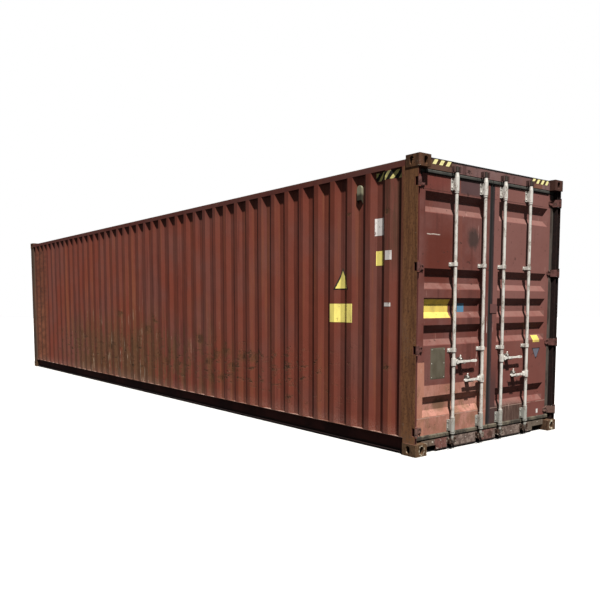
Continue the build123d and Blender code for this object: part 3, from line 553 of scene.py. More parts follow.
def headerFinish():
    # dull mauve face, browner towards its left end, black along its top edge
    coat = Finish("header_paint")
    x, z = coat.x, coat.z
    look = {
        "broad": 2.0, "runs": 14, "paint": (0.13, 0.066, 0.062),
        "faded": (0.17, 0.102, 0.097), "warm": (0.155, 0.08, 0.066),
        "dark": (0.045, 0.019, 0.018), "pale": (0.22, 0.15, 0.135), "runShare": 0.6,
    }
    coat.color, grain = weathered(coat, look)
    wobble = coat.noise(9, detail=7, rough=0.7, shift=6)
    left = fall(x + (wobble - 0.5) * 0.3, -0.72, -0.52)
    coat.lay((0.072, 0.036, 0.018), left * 0.75)
    # rust runs under the right stripes
    right = band(x + (wobble - 0.5) * 0.1, 0.72, 0.9, 0.02) * fall(z, 2.826, 2.838)
    coat.lay((0.15, 0.06, 0.028), right * 0.7)
    edge = step(z + (wobble - 0.5) * 0.012, 2.868, 2.874)
    coat.lay((0.007, 0.006, 0.006), edge * 0.97)
    scabs = step(wobble, 0.6, 0.64)
    coat.lay((0.024, 0.012, 0.01), scabs * 0.85)
    return coat.done(0.62 + grain * 0.2, wobble * 0.9 + grain * 0.15, 0.003)


def sillFinish():
    # scuffed grey mauve, red paint left near the left end, olive dirt at the right end, drips all along
    coat, x, y, z = start("sill_paint")
    grain = coat.noise(70, detail=5, rough=0.75)
    scuff = coat.noise(13, (1, 1, 1.6), detail=8, rough=0.78, shift=4)
    patches = coat.noise(3.4, detail=6, rough=0.65, shift=9)
    drips = coat.noise(40, (1, 1, 0.2), detail=6, rough=0.8, shift=15)
    coat.color = mix((0.24, 0.184, 0.156), (0.102, 0.069, 0.058), step(scuff, 0.4, 0.56))
    left = band(x + (patches - 0.5) * 0.15, -0.86, -0.67, 0.02)
    middle = band(x + (patches - 0.5) * 0.2, -0.13, 0.1, 0.03)
    coat.lay((0.15, 0.055, 0.045), most(left, middle * 0.8) * 0.8)
    olive = step(x + (patches - 0.5) * 0.2, 0.7, 0.84)
    coat.lay((0.11, 0.09, 0.066), olive * 0.8)
    corner = fall(x + (patches - 0.5) * 0.1, -0.9, -0.84)
    coat.lay((0.11, 0.08, 0.056), corner * 0.8)
    coat.lay((0.036, 0.022, 0.017), step(drips, 0.52, 0.62) * 0.85)
    bare = step(scuff + grain * 0.15 - drips * 0.1, 0.63, 0.67)
    coat.lay((0.5, 0.44, 0.38), bare * 0.8)
    rust = step(patches + grain * 0.2, 0.68, 0.74)
    coat.lay((0.042, 0.021, 0.013), rust * 0.8)
    # painted shade: near black along the sill's foot, for its shaded underside edge
    foot = fall(z + (scuff - 0.5) * 0.02, 0.022, 0.032)
    coat.lay((0.016, 0.011, 0.01), foot * 0.9)
    return coat.done(0.66 + grain * 0.2, scuff * 0.6 + grain * 0.25 + bare * 0.1, 0.003)


def keeperFinish():
    # near black above, old grease together with painted shade of the wells they sit in; rusty with rubbed
    # edges below
    coat = Finish("keeper_steel")
    x, z = coat.x, coat.z
    middleBar = (shapes["bars"][3] + shapes["bars"][2]) / 2
    fromBar = abs(abs(abs(x) - middleBar) - (shapes["bars"][3] - middleBar))
    grain = coat.noise(55, detail=6, rough=0.75)
    rubbed = coat.noise(24, detail=6, rough=0.7, shift=3)
    high = step(z, 1.0, 1.1)
    coat.color = mix((0.026, 0.014, 0.01), (0.075, 0.04, 0.025), step(grain, 0.45, 0.6))
    coat.lay((0.4, 0.35, 0.29), step(rubbed, 0.54, 0.6) * (1 - high) * 0.85)
    # painted shade: the top keepers are darkened to near black because the wells round the cams lie in shade;
    # partly old grease
    coat.lay((0.01, 0.007, 0.006), high * 0.65)
    coat.lay((0.2, 0.15, 0.12), step(rubbed, 0.56, 0.62) * high * 0.6)
    cheek = step(fromBar + (rubbed - 0.5) * 0.01, 0.026, 0.032) * high
    coat.lay((0.082, 0.042, 0.038), cheek * 0.8)
    return coat.done(0.6 + grain * 0.25, grain * 0.6 + rubbed * 0.4, 0.002)


doorZones = {
    "seams": (2.59, 0.353),
    "redder": ((-1.04, -0.6), (1.66, 2.2)),
    "upperRed": ((-1.02, -0.68), (2.6, 2.75)),
    "greyPatch": ((-0.515, -0.085), (2.597, 2.76)),
    "smudge": (-0.29, 2.165),
    "oliveSpot": (-0.75, 0.47),
    "salmonTop": 0.676,
    "stileTop": 0.909,
    "stripTop": 1.024,
    "scratch": ((-1.01, -0.82), 2.165),
    "centre": (-0.03, 0.05),
    "sealEdge": 1.1,
    "lapPlate": (1.386, 1.484),
}


def doorFinish():
    coat, x, y, z = start("door_paint")
    look = {
        "broad": 1.5, "runs": 9, "paint": (0.116, 0.034, 0.026),
        "faded": (0.142, 0.06, 0.052), "warm": (0.155, 0.052, 0.038),
        "dark": (0.066, 0.022, 0.018), "pale": (0.23, 0.12, 0.1), "runShare": 0.65,
    }
    coat.color, grain = weathered(coat, look)
    wobble = coat.noise(3.2, detail=6, rough=0.6, shift=9)
    blots = coat.noise(6.5, (1, 1, 0.6), detail=7, rough=0.7, shift=5)
    drips = coat.noise(48, (1, 1, 0.1), detail=6, rough=0.75, shift=16)
    edge = (wobble - 0.5) * 0.14
    left = fall(x, -0.02, 0.0)
    # the right door is dustier than the left above, redder below
    upper = step(z + edge, 0.9, 1.7)
    coat.lay(mix((0.205, 0.092, 0.08), (0.165, 0.074, 0.064), wobble), (1 - left) * upper * 0.75)
    coat.lay(mix((0.175, 0.062, 0.05), (0.125, 0.04, 0.032), wobble), (1 - left) * (1 - upper) * 0.7)
    for zone, red, share in (("redder", (0.096, 0.02, 0.012), 0.85), ("upperRed", (0.15, 0.036, 0.028), 0.6)):
        coat.lay(red, patch(x + edge, z + edge, doorZones[zone], 0.09) * share)
    grey = patch(x + edge * 0.1, z + edge * 0.1, doorZones["greyPatch"], 0.008)
    coat.lay(mix((0.052, 0.03, 0.033), (0.088, 0.05, 0.05), blots), grey * 0.9)
    smudge = fall(away(x, z, doorZones["smudge"], 1.3) + (blots - 0.5) * 0.2, 0.06, 0.14) * left
    coat.lay((0.038, 0.026, 0.023), smudge * 0.85)
    # dusty ledges: the recesses' lower slopes catch pale dust
    sunk = step(y, shapes["leafFace"] + 0.003, shapes["leafFace"] + 0.008)
    for middle in recessMiddles:
        ledge = band(z, middle - 0.105, middle - 0.035, 0.004) * sunk
        coat.lay((0.19, 0.1, 0.084), ledge * step(blots, 0.3, 0.6) * 0.6)
    # salmon repaint low on the left door, with its own dirt
    stile = band(x, -1.2, -1.02, 0.003) * (doorZones["stileTop"] - doorZones["salmonTop"])
    strip = band(x, -0.096, 0.0, 0.003) * (doorZones["stripTop"] - doorZones["salmonTop"])
    salmon = fall(z + edge * 0.12 - (stile + strip + doorZones["salmonTop"]), -0.004, 0.004) * left
    salmonColor = mix((0.35, 0.165, 0.128), (0.275, 0.118, 0.085), step(wobble, 0.42, 0.58))
    salmonColor = mix(salmonColor, (0.345, 0.155, 0.105), band(x, -1.2, -1.02, 0.003) * 0.8)
    olive = step(blots, 0.45, 0.6) * band(z, 0.2, 0.66, 0.1)
    salmonColor = mix(salmonColor, (0.17, 0.095, 0.055), olive * 0.75)
    salmonColor = mix(salmonColor, (0.52, 0.3, 0.24), step(grain, 0.56, 0.7) * 0.45)
    salmonColor = mix(salmonColor, (0.19, 0.085, 0.06), step(drips, 0.54, 0.66) * 0.6)
    coat.lay(salmonColor, salmon)
    spot = fall(away(x, z, doorZones["oliveSpot"], 0.5) + (blots - 0.5) * 0.16, 0.03, 0.1) * left
    coat.lay((0.1, 0.062, 0.034), spot * 0.75)
    # brown grey dirt with fine drips at the foot of the right door, and down beside its centre edge
    foot = fall(z + edge * 0.5, 0.34, 0.42) * (1 - left) * fall(x + edge, 0.62, 0.76)
    dirt = mix((0.1, 0.07, 0.056), (0.042, 0.028, 0.022), step(drips, 0.4, 0.56))
    coat.lay(dirt, foot * 0.85)
    inner = band(x + (blots - 0.5) * 0.05, 0.0, 0.15, 0.03) * fall(z + edge, 0.55, 1.0) * (1 - left)
    coat.lay((0.05, 0.026, 0.025), inner * 0.8)
    scabs = step(coat.noise(16, detail=8, rough=0.7, shift=6), 0.63, 0.67)
    coat.lay((0.036, 0.017, 0.013), scabs * 0.8)
    coat.lay((0.06, 0.028, 0.023), step(drips, 0.6, 0.68) * 0.5)
    rubs = coat.noise(26, (1, 1, 0.12), detail=4, rough=0.6, shift=8)
    coat.lay((0.4, 0.26, 0.22), step(rubs, 0.68, 0.73) * 0.6)
    (x0, x1), level = doorZones["scratch"]
    scratch = band(x, x0, x1, 0.01) * band(z + (blots - 0.5) * 0.02, level - 0.005, level + 0.005, 0.003)
    coat.lay((0.52, 0.45, 0.4), scratch * step(grain, 0.35, 0.5) * 0.8)
    # weld seams between the rails and the pressed sheet: dark above, chalky below
    for level, tone in zip(doorZones["seams"], ((0.032, 0.014, 0.011), (0.42, 0.29, 0.24))):
        seam = band(z + (grain - 0.5) * 0.006, level - 0.003, level + 0.003, 0.003)
        coat.lay(tone, seam * step(blots, 0.36, 0.5) * 0.7)
    # black rubber folded round the meeting edges, all but the lap plate, and grey rubber at the right edge
    plateLow, plateHigh = doorZones["lapPlate"]
    lap = band(z, plateLow, plateHigh, 0.001) * fall(y, -6.0185, -6.0175) * (1 - left)
    rubber = band(x + (blots - 0.5) * 0.006, *doorZones["centre"], 0.003) * (1 - lap)
    coat.lay(mix((0.024, 0.016, 0.018), (0.052, 0.034, 0.036), step(blots, 0.45, 0.62)), rubber * 0.95)
    coat.lay((0.1, 0.045, 0.042), lap * 0.8)
    beside = most(band(x, 0.056, 0.068, 0.002), band(x, -0.048, -0.038, 0.002))
    peel = beside * band(z + edge * 0.5, 1.18, 1.36, 0.01) * step(drips, 0.46, 0.54)
    coat.lay((0.52, 0.44, 0.4), peel * 0.8)
    # painted shadow: near black at the left door's top outer corner, where the top casting casts its shadow
    gap = fall(x, -1.092, -1.086) * step(z + edge * 0.1, 2.665, 2.68)
    coat.lay((0.008, 0.005, 0.005), gap * 0.95)
    outer = step(x + (blots - 0.5) * 0.004, doorZones["sealEdge"] - 0.002, doorZones["sealEdge"] + 0.002)
    coat.lay(mix((0.074, 0.063, 0.053), (0.038, 0.03, 0.025), step(blots, 0.42, 0.58)), outer * 0.95)
    height = wobble * 1.4 + grain * 0.15 - scabs * 0.3 + blots * 0.4
    return coat.done(0.54 + grain * 0.2 + scabs * 0.2, height, 0.003)


def hingeFinish():
    coat = Finish("hinge_paint")
    z = coat.z
    grain = coat.noise(60, detail=5, rough=0.7)
    wear = coat.noise(20, detail=6, rough=0.7, shift=5)
    coat.color = mix((0.115, 0.048, 0.042), (0.06, 0.024, 0.019), step(wear, 0.4, 0.58))
    low = fall(z, 0.3, 0.4)
    coat.lay((0.14, 0.085, 0.068), low * 0.6)
    coat.lay((0.022, 0.011, 0.009), step(wear, 0.57, 0.63) * 0.85)
    coat.lay((0.36, 0.27, 0.23), step(grain + wear, 1.2, 1.27) * 0.75)
    return coat.done(0.6 + grain * 0.2, wear * 0.7 + grain * 0.25, 0.002)


def roofFinish():
    coat = Finish("roof_paint")
    look = {
        "broad": 0.7, "runs": 3, "paint": (0.085, 0.026, 0.019),
        "faded": (0.105, 0.046, 0.036), "warm": (0.11, 0.042, 0.026),
        "dark": paint["deep"], "pale": (0.14, 0.08, 0.062), "runShare": 0.3,
    }
    coat.color, grain = weathered(coat, look)
    spots = coat.noise(2.5, detail=9, rough=0.7, shift=1)
    pools = step(spots, 0.56, 0.64)
    coat.lay(paint["rust"], pools * 0.8)
    coat.lay(paint["darkRust"], step(spots, 0.66, 0.72) * 0.6)
    height = coat.noise(1.1, detail=2, shift=4) * 2 + grain * 0.15 + pools * 0.2
    return coat.done(0.62 + grain * 0.2, height, 0.004)


def coatingFinish():
    coat = Finish("underside_coat")
    grain = coat.noise(60, detail=6, rough=0.7)
    patches = coat.noise(3, detail=6, rough=0.6, shift=3)
    coat.color = mix((0.018, 0.014, 0.013), (0.04, 0.03, 0.026), patches)
    coat.lay((0.085, 0.04, 0.02), step(patches, 0.6, 0.7) * 0.8)
    return coat.done(0.75 + grain * 0.15, grain + patches, 0.002)


def plyFinish():
    # boards 1.2 m wide across, their long seams, grain along X and dark screw heads in rows
    coat = Finish("floor_ply")
    x, y = coat.x, coat.y
    grain = coat.noise(18, (0.08, 1, 1), detail=6, rough=0.6)
    wear = coat.noise(1.4, detail=6, rough=0.65, shift=2)
    coat.color = mix((0.24, 0.135, 0.07), (0.15, 0.08, 0.042), step(grain, 0.35, 0.65))
    coat.lay((0.085, 0.055, 0.036), step(wear, 0.5, 0.68) * 0.7)
    alongSeam = abs(wrap(y, 2.44) - 1.22)
    acrossSeam = abs(wrap(x, 1.16) - 0.58)
    seam = fall(least(alongSeam, acrossSeam), 0.002, 0.005)
    coat.lay((0.02, 0.014, 0.01), seam * 0.9)
    fromScrew = away(wrap(x, 0.18), wrap(y + 0.06, 0.305), (0.09, 0.1525), 1)
    screw = fall(fromScrew, 0.005, 0.007)
    coat.lay((0.1, 0.09, 0.08), screw)
    return coat.done(0.6 + grain * 0.2, grain * 0.3 - seam - screw * 0.6, 0.0015)


def rubberFinish():
    # near black upright, grey green along the top, caked with olive dirt along the bottom; painted shade in
    # near black under each roll
    coat = Finish("gasket_rubber")
    y, z = coat.y, coat.z
    grain = coat.noise(80, detail=5, rough=0.6)
    dust = coat.noise(5, (1, 1, 0.5), detail=6, rough=0.65, shift=3)
    coat.color = mix((0.013, 0.012, 0.013), (0.03, 0.027, 0.026), dust)
    high = step(z, 2.73, 2.737)
    roll = mix((0.05, 0.05, 0.044), (0.026, 0.027, 0.024), step(dust, 0.42, 0.6))
    roll = mix(roll, (0.095, 0.088, 0.075), step(grain, 0.56, 0.7) * 0.5)
    coat.lay(roll, high)
    # painted shade: near black on the top roll's underside, where it lies in shadow
    coat.lay((0.005, 0.004, 0.004), band(z, 2.73, 2.749, 0.003) * 0.9)
    low = fall(z, 0.178, 0.19)
    cake = mix((0.11, 0.094, 0.068), (0.036, 0.031, 0.025), step(dust + grain * 0.4, 0.62, 0.76))
    coat.lay(cake, low)
    # painted shade: near black band low on the bottom roll, for its shaded underside
    coat.lay((0.006, 0.006, 0.005), band(z, 0.1, 0.144, 0.004) * 0.9)
    outer = band(coat.x, 1.12, 1.162, 0.003) * band(z, 0.19, 2.73, 0.004)
    coat.lay(mix((0.07, 0.06, 0.05), (0.036, 0.029, 0.024), step(dust, 0.4, 0.6)), outer * 0.95)
    return coat.done(0.66 + grain * 0.2, grain * 0.3 + dust, 0.001)


def zinc(name, bright, dull, soil):
    # dull zinc, over-painted in pale grey and dirtier towards the ground; ends in the keepers rusty and dark,
    # the top ends near black as rust together with painted shade of the keeper wells
    coat = Finish(name)
    z = coat.z
    grain = coat.noise(120, detail=4, rough=0.6)
    spangle = coat.noise(28, (1, 1, 0.4), detail=6, rough=0.65, shift=2)
    coat.color = mix(bright, dull, step(spangle, 0.44, 0.66))
    low = fall(z + (spangle - 0.5) * 0.1, 0.28, 0.36)
    coat.lay((0.235, 0.24, 0.215), low * 0.75)
    dirt = step(spangle + grain, 1.06, 1.22)
    coat.lay(soil, dirt * 0.85)
    # rust at both ends; the top ends are near black without pale chips, painted shade for the keeper wells
    high = step(z, 2.772, 2.784)
    rustAndShade = mix((0.018, 0.011, 0.009), (0.085, 0.05, 0.034), step(grain, 0.45, 0.62) * (1 - high * 0.7))
    rustAndShade = mix(rustAndShade, (0.44, 0.39, 0.34), step(spangle, 0.54, 0.6) * (1 - high) * 0.7)
    coat.lay(rustAndShade, most(high, fall(z, 0.112, 0.124)) * 0.97)
    rough = 0.46 + grain * 0.15 + dirt * 0.2
    return coat.done(rough, grain * 0.2 + spangle * 0.4, 0.0008, metal=0.12, shine=0.35)


def ventFinish():
    coat = Finish("vent_plastic")
    z = coat.z
    grain = coat.noise(60, detail=5, rough=0.6)
    runs = coat.noise(20, (1, 1, 0.1), detail=4, shift=1)
    coat.color = mix((0.175, 0.165, 0.105), (0.23, 0.22, 0.155), runs)
    foot = fall(z + (runs - 0.5) * 0.05, 2.59, 2.63)
    coat.lay((0.022, 0.016, 0.01), foot * 0.9)
    return coat.done(0.6 + grain * 0.2, grain, 0.0008)


wallPaint = wallFinish()
framePaint = frameFinish()
doorPaint = doorFinish()
hingePaint = hingeFinish()
galvanised = zinc("bar_galvanised", (0.56, 0.545, 0.505), (0.41, 0.385, 0.345), (0.13, 0.095, 0.07))
gear = zinc("gear_galvanised", (0.66, 0.64, 0.59), (0.42, 0.39, 0.34), (0.05, 0.038, 0.03))
# handle retainers near black: dark greasy steel together with painted shade for the shadow the handles cast
# onto them
retainer = zinc("retainer_steel", (0.06, 0.048, 0.04), (0.022, 0.017, 0.014), (0.3, 0.27, 0.24))
coats = (
    # a finish, and how the names of the CAD nodes that wear it start
    (wallPaint, ("side_wall", "front_wall")),
    (framePaint, ("front_post", "rear_post", "front_top", "front_bottom")),
    (castingFinish(), "corner_castings"),
    (topRailFinish(), "top_side_rail"),
    (bottomRailFinish(), "bottom_side_rail"),
    (headerFinish(), "door_header"),
    (sillFinish(), "door_sill"),
    (keeperFinish(), "cam_keepers"),
    (doorPaint, ("door_frame", "door_panel")),
    (hingePaint, "door_hinges"),
    (roofFinish(), "roof"),
    (coatingFinish(), ("cross_members", "gooseneck_tunnel")),
    (plyFinish(), "floor_boards"),
    (rubberFinish(), "door_gasket"),
    (ventFinish(), "ventilator"),
    (galvanised, ("locking_bar", "bar_brackets")),
    (gear, ("bar_handle", "handle_catch")),
    (retainer, "handle_retainers"),
)
for material, starts in coats:
    for name in nodes:
        if name.startswith(starts):
            nodes[name].data.materials.clear()
            nodes[name].data.materials.append(material)
print("finishes: all nodes dressed")


def markFinish(name, color, worn, rim=None):
    # blank vinyl: worn through in small flakes, with an optional rim colour stored in an attribute
    coat = Finish(name)
    flakes = coat.noise(38, detail=7, rough=0.7, shift=len(name))
    grime = coat.noise(9, (1, 1, 0.4), detail=4, shift=2)
    if rim:
        edge = coat.node("ShaderNodeAttribute", {"attribute_name": "rim"}, output="Fac")
        color = mix(color, rim, step(edge, 0.15, 0.25))
    coat.color = mix(color, (0.13, 0.1, 0.07), step(grime, 0.4, 0.75) * 0.45)
    coat.lay(paint["deep"], step(flakes, worn, worn + 0.05))
    return coat.done(0.45 + grime * 0.25, flakes, 0.0003)


def stripeFinish(name, look):
    # pale yellow bars leaning across a dark strip; lean is how far they shift along per metre of height
    coat = Finish(name)
    along = coat.x if look["along"] == "x" else coat.y
    across = wrap(along - coat.z * look["lean"] - look["start"], look["pitch"])
    flakes = coat.noise(30, detail=7, rough=0.7)
    bars = band(across, 0.0, look["pitch"] * look["share"], 0.0015)
    grime = coat.noise(8, detail=5, shift=4)
    yellow = mix(look["yellow"], look["dull"], step(grime, 0.45, 0.65) * look["dirt"])
    coat.color = mix(look["ground"], yellow, bars)
    coat.lay((0.1, 0.06, 0.035), step(flakes, 0.6, 0.64) * 0.8)
    return coat.done(0.5 + flakes * 0.2, flakes, 0.0003)


def storeRim(piece, edge):
    # where a sheet's rim is, for its finish
    piece.data.attributes.new("rim", "FLOAT", "POINT").data.foreach_set("value", edge.ravel())


def wallMark(name, yRange, zRange, material, triangle=False):
    # a sheet that follows the wall's folds: x = wallX(y) + lift, on a grid over y and z
    folds = wallAlong[(wallAlong > yRange[0]) & (wallAlong < yRange[1])]
    columns, rows = marks["fineGrid"] if triangle else marks["grid"]
    lift = marks["fineLift"] if triangle else marks["lift"]
    along = np.unique(np.concatenate([np.linspace(*yRange, columns), folds]))
    up = np.linspace(*zRange, rows)
    yGrid, zGrid = np.meshgrid(along, up)
    edge = rimShare(yGrid.shape)
    if triangle:
        # rows shorten towards the top; the rim is what lies near a sloping side or the base
        share = (zGrid - zRange[0]) / (zRange[1] - zRange[0])
        middle = sum(yRange) / 2
        narrow = 1 - share * 0.96
        reach = (yRange[1] - yRange[0]) / 2 * narrow
        yGrid = middle + (yGrid - middle) * narrow
        near = np.minimum(reach - np.abs(yGrid - middle), (zGrid - zRange[0]) * 1.4)
        edge = (near < marks["rim"]).astype(float)
    points = np.stack([-(wallX(yGrid) + lift), yGrid, zGrid], -1)
    # facing -X: order the columns from +Y to -Y
    faces = gridFaces(len(up), len(along))[:, ::-1]
    piece = addMesh(name, points, faces, "container", material)
    storeRim(piece, edge)


def rimShare(shape):
    # one on the outermost points of a grid, zero inside
    edge = np.zeros(shape)
    edge[[0, -1], :] = 1
    edge[:, [0, -1]] = 1
    return edge


def doorMark(name, xRange, zRange, material, body, pointDown=False):
    # a sheet that follows the leaf's recesses: y = doorY(z) - lift, on a grid over x and z
    folds = doorUp[(doorUp > zRange[0]) & (doorUp < zRange[1])]
    up = np.unique(np.concatenate([np.linspace(*zRange, marks["doorPoints"]), folds]))
    across = np.linspace(*xRange, marks["doorPoints"])
    xGrid, zGrid = np.meshgrid(across, up)
    edge = rimShare(xGrid.shape)
    middle = sum(xRange) / 2
    share = (zGrid - zRange[0]) / (zRange[1] - zRange[0])
    if pointDown:
        edge = np.maximum(edge, share < 0.15)
        xGrid = middle + (xGrid - middle) * np.maximum(share, 0.02)
    points = np.stack([xGrid, doorY(zGrid) - marks["lift"], zGrid], -1)
    piece = addMesh(name, points, gridFaces(len(up), len(across)), body, material)
    storeRim(piece, edge)


marks = {
    "yellow": (0.64, 0.49, 0.11),
    "sideYellow": (0.9, 0.77, 0.2),
    "white": (0.66, 0.62, 0.6),
    "blue": (0.075, 0.19, 0.3),
    "slate": (0.11, 0.115, 0.15),
    "dark": (0.012, 0.01, 0.012),
    "rim": 0.017,
    "grid": (9, 7),  # points along and up
    "fineGrid": (49, 37),
    "flatGrid": (9, 5),
    "doorPoints": 11,
    "lift": 0.0008,  # off the steel
    "fineLift": 0.0016,
    "sideStripes": ((-5.861, -5.491), (2.708, 2.79)),
    "headerRows": (2.833, 2.881),
}
yellowMark = markFinish("mark_yellow", marks["yellow"], 0.62)
whiteMark = markFinish("mark_white", marks["white"], 0.59)
blueMark = markFinish("mark_blue", marks["blue"], 0.62)
slateMark = markFinish("mark_slate", marks["slate"], 0.62, rim=marks["dark"])
sideYellow = markFinish("mark_side_yellow", marks["sideYellow"], 0.62)
warnMark = markFinish("mark_warn", marks["sideYellow"], 0.64, rim=marks["dark"])
sideStripes = {
    "along": "y", "lean": -0.85, "start": -5.835 + 0.85 * 2.708, "pitch": 0.093, "share": 0.44, "dirt": 0.9,
    "yellow": (0.62, 0.56, 0.2), "dull": (0.17, 0.155, 0.075), "ground": (0.008, 0.007, 0.007),
}
wallMark("stripes_side", *marks["sideStripes"], stripeFinish("stripes_side", sideStripes))
wallLabels = {
    "yellow": ((-5.165, -4.802), (1.286, 1.486), sideYellow),
    "triangle": ((-5.104, -4.868), (1.64, 1.866), warnMark),
    "white_top": ((-5.613, -5.48), (2.17, 2.342), whiteMark),
    "yellow_small": ((-5.611, -5.495), (1.871, 2.016), sideYellow),
    "white_middle": ((-5.732, -5.65), (1.922, 2.014), whiteMark),
    "white_low": ((-5.726, -5.645), (1.46, 1.498), whiteMark),
}
for name, (yRange, zRange, material) in wallLabels.items():
    wallMark("label_side_" + name, yRange, zRange, material, triangle=name == "triangle")
doorLabels = {
    "yellow": ((-1.036, -0.64), (1.345, 1.53), yellowMark, "door_left"),
    "blue": ((-0.492, -0.385), (1.402, 1.492), blueMark, "door_left"),
    "block": ((0.821, 0.952), (1.045, 1.124), yellowMark, "door_right"),
    "point": ((0.806, 0.972), (0.851, 0.98), slateMark, "door_right"),
    "spot": ((0.925, 0.96), (0.214, 0.262), whiteMark, "door_right"),
}
for name, (xRange, zRange, material, body) in doorLabels.items():
    doorMark("label_door_" + name, xRange, zRange, material, body, pointDown=name == "point")
print("marks: blank labels and stripes placed")

headerStripes = {
    "along": "x", "lean": 0.75, "dirt": 0.3, "share": 0.52,
    "yellow": (0.76, 0.71, 0.33), "dull": (0.46, 0.42, 0.17), "ground": (0.052, 0.027, 0.016),
}
for side, xRange, pitch in (("left", (-0.962, -0.674), 0.098), ("right", (0.695, 1.027), 0.088)):
    name = "stripes_header_" + side
    first = xRange[0] - headerStripes["lean"] * marks["headerRows"][0]
    coat = stripeFinish(name, headerStripes | {"start": first, "pitch": pitch})
    # a flat sheet that faces -Y, on a grid over x and z
    columns, rows = marks["flatGrid"]
    x, z = np.meshgrid(np.linspace(*xRange, columns), np.linspace(*marks["headerRows"], rows))
    points = np.stack([x, np.full_like(x, shapes["rearFace"] - marks["lift"]), z], -1)
    addMesh(name, points, gridFaces(rows, columns), "container", coat)

plate = {
    "xRange": (-0.932, -0.713),
    "zRange": (0.734, 1.048),
    "gap": 0.0006,  # off the door
    "thick": 0.002,
    "edge": 0.9,  # where the border starts, as a share of the half width
    "border": 0.3,  # share by which it stands out
    "grid": (21, 25),
    "rivet": 0.004,
    "rivetHeight": 0.003,
    "inset": 0.018,
}


def plateFinish():
    coat = Finish("bare_plate")
    grain = coat.noise(45, detail=6, rough=0.65)
    dirt = coat.noise(9, (1, 1, 0.5), detail=5, shift=3)
    coat.color = mix((0.105, 0.092, 0.066), (0.072, 0.06, 0.04), step(dirt, 0.35, 0.7))
    coat.lay((0.13, 0.115, 0.085), step(grain, 0.56, 0.7) * 0.5)
    return coat.done(0.55 + grain * 0.2, grain, 0.0005, metal=0.1)


def makePlate():
    # a blank sheet: over a square -1 to 1 its height is 1 - distance ** 24, and more along the border
    columns, rows = plate["grid"]
    u, v = np.meshgrid(np.linspace(-1, 1, columns), np.linspace(-1, 1, rows))
    x = sum(plate["xRange"]) / 2 + u * np.diff(plate["xRange"])[0] / 2
    z = sum(plate["zRange"]) / 2 + v * np.diff(plate["zRange"])[0] / 2
    distance = np.maximum(np.abs(u), np.abs(v))
    rise = 1 - distance ** 24
    border = plate["border"] * (distance > plate["edge"])
    y = shapes["leafFace"] - plate["gap"] - plate["thick"] * (rise + border * rise)
    points, faces = np.stack([x, y, z], -1), gridFaces(rows, columns)
    addMesh("plate_door", points, faces, "door_left", plateFinish(), smooth=True)
    lowX, highX = plate["xRange"][0] + plate["inset"], plate["xRange"][1] - plate["inset"]
    lowZ, highZ = plate["zRange"][0] + plate["inset"], plate["zRange"][1] - plate["inset"]
    face = shapes["leafFace"] - plate["thick"]
    places = [(x, face, z) for x in (lowX, highX) for z in (lowZ, (lowZ + highZ) / 2, highZ)]
    points, faces = heads(places, plate["rivet"], plate["rivetHeight"], 8)
    addMesh("plate_rivets", points, faces, "door_left", galvanised, smooth=True)


makePlate()

bolts = {
    "radius": 0.0065,
    "height": 0.007,
    "flangeFace": -6.024,
    # on each bar's brackets: how far beside the bar, and the rows' heights
    "brackets": ((0.0305, (0.218, 0.28, 2.637, 2.699)), (0.039, (1.018, 1.881))),
    "bladeRadius": 0.009,
    "bladeX": (1.082, 1.112),
    "bladeRise": 0.02,
}


def makeBolts(side, sign):
    body = "door_" + side
    onBrackets = [
        (bar + dx, bolts["flangeFace"], z)
        for bar in shapes["bars"] if bar * sign > 0
        for spread, rows in bolts["brackets"]
        for dx in (-spread, spread)
        for z in rows
    ]
    points, faces = heads(onBrackets, bolts["radius"], bolts["height"], 6)
    addMesh("bolts_brackets_" + side, points, faces, body, galvanised)
    onBlades = [
        (sign * x, shapes["rearFace"], z + dz)
        for x in bolts["bladeX"]
        for z in shapes["hinges"]
        for dz in (-bolts["bladeRise"], bolts["bladeRise"])
    ]
    points, faces = heads(onBlades, bolts["bladeRadius"], bolts["height"], 10)
    addMesh("bolts_hinges_" + side, points, faces, body, hingePaint)


for side, sign in (("left", -1), ("right", 1)):
    makeBolts(side, sign)
print("bolts: on brackets and hinges")

welds = {
    "radius": 0.005,
    "sides": 6,
    "ripple": 0.18,  # share of the radius
    "castings": {"x": 1.2135, "edges": (0.118, 2.778), "run": (-6.076, -5.934), "points": 20},
    "posts": {"x": 1.1795, "ends": (-5.917, 5.917), "run": (0.18, 2.795), "points": 90},
}


def weldFinish():
    coat = Finish("weld_paint")
    grain = coat.noise(70, detail=5, rough=0.7)
    coat.color = mix((0.08, 0.03, 0.02), (0.13, 0.06, 0.035), step(grain, 0.35, 0.65))
    return coat.done(0.6 + grain * 0.2, grain, 0.002)


weldPaint = weldFinish()


def weldLine(start, end, ripples):
    # a bead between two points whose radius ripples along it like laid weld
    share = np.linspace(0, 1, ripples)
    path = np.array(start) + (np.array(end) - start) * share[:, None]
    radius = welds["radius"] * (1 + welds["ripple"] * np.sin(share * ripples * 2.3))
    return bead(path, radius, welds["sides"])


def makeWelds():
    # along the posts' edges, above and below the rear castings
    across, upright = welds["castings"], welds["posts"]
    lines = []
    for sign in (-1, 1):
        for z in across["edges"]:
            ends = [(sign * across["x"], y, z) for y in across["run"]]
            lines.append(weldLine(*ends, across["points"]))
        for y in upright["ends"]:
            ends = [(sign * upright["x"], y, z) for z in upright["run"]]
            lines.append(weldLine(*ends, upright["points"]))
    return together(lines)


points, faces = makeWelds()
addMesh("welds_posts", points, faces, "container", weldPaint, smooth=True)
print("welds: laid")


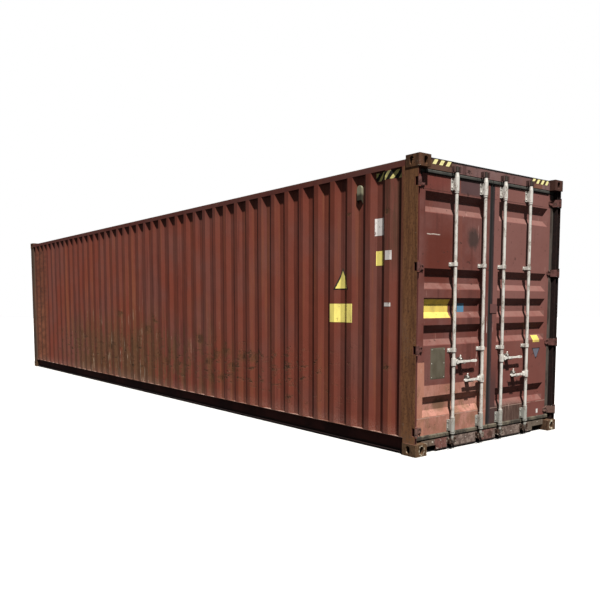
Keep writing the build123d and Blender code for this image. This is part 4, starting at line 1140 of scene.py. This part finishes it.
def seenOrLit(tree, seen, lit):
    # one shader for what the camera looks at, another for the light that it sends to the container
    rays = tree.nodes.new("ShaderNodeLightPath")
    blend = tree.nodes.new("ShaderNodeMixShader")
    tree.links.new(rays.outputs["Is Camera Ray"], blend.inputs[0])
    tree.links.new(lit, blend.inputs[1])
    tree.links.new(seen, blend.inputs[2])
    return blend.outputs[0]


def makeWorld():
    world = bpy.data.worlds.new("studio")
    world.use_nodes = True
    tree = world.node_tree
    sky = tree.nodes["Background"]
    sky.inputs[0].default_value = (*studio["sky"], 1)
    sky.inputs[1].default_value = studio["skyPower"]
    backdrop = tree.nodes.new("ShaderNodeBackground")
    backdrop.inputs[0].default_value = (*studio["backdrop"], 1)
    shown = seenOrLit(tree, backdrop.outputs[0], sky.outputs[0])
    tree.links.new(shown, tree.nodes["World Output"].inputs[0])
    bpy.context.scene.world = world


def makeLamps():
    for name, (power, color, turn, height, spread) in studio["lamps"].items():
        sun = bpy.data.lights.new(name, "SUN")
        sun.energy, sun.color, sun.angle = power, color, math.radians(spread)
        held = addPiece(name, sun)
        held.rotation_euler = (math.radians(90 - height), 0, -math.radians(turn))


def floorFinish():
    # pale to the eye, and dull to the light that it sends back up
    coat = Finish("studio_floor")
    grain = coat.noise(3, detail=4)
    coat.color = mix(studio["floorUnder"], (0.025, 0.025, 0.025), grain)
    coat.done(0.9)
    tree = coat.tree
    pale = tree.nodes.new("ShaderNodeBsdfDiffuse")
    pale.inputs[0].default_value = (*studio["floor"], 1)
    shown = seenOrLit(tree, pale.outputs[0], coat.shader.outputs[0])
    tree.links.new(shown, tree.nodes["Material Output"].inputs[0])
    return coat.material


def makeFloor():
    # a level grid: x and y evenly spaced, z constant
    count = studio["floorPoints"]
    side = np.linspace(-studio["floorReach"], studio["floorReach"], count)
    x, y = np.meshgrid(side, side)
    points = np.stack([x, y, np.full_like(x, -studio["floorDrop"])], -1)
    piece = newMesh("floor", points, gridFaces(count, count), floorFinish())


makeWorld()
makeLamps()
makeFloor()
bpy.context.scene.view_settings.view_transform = "Standard"
bpy.context.scene.view_settings.look = "None"
print("light and floor: ready")
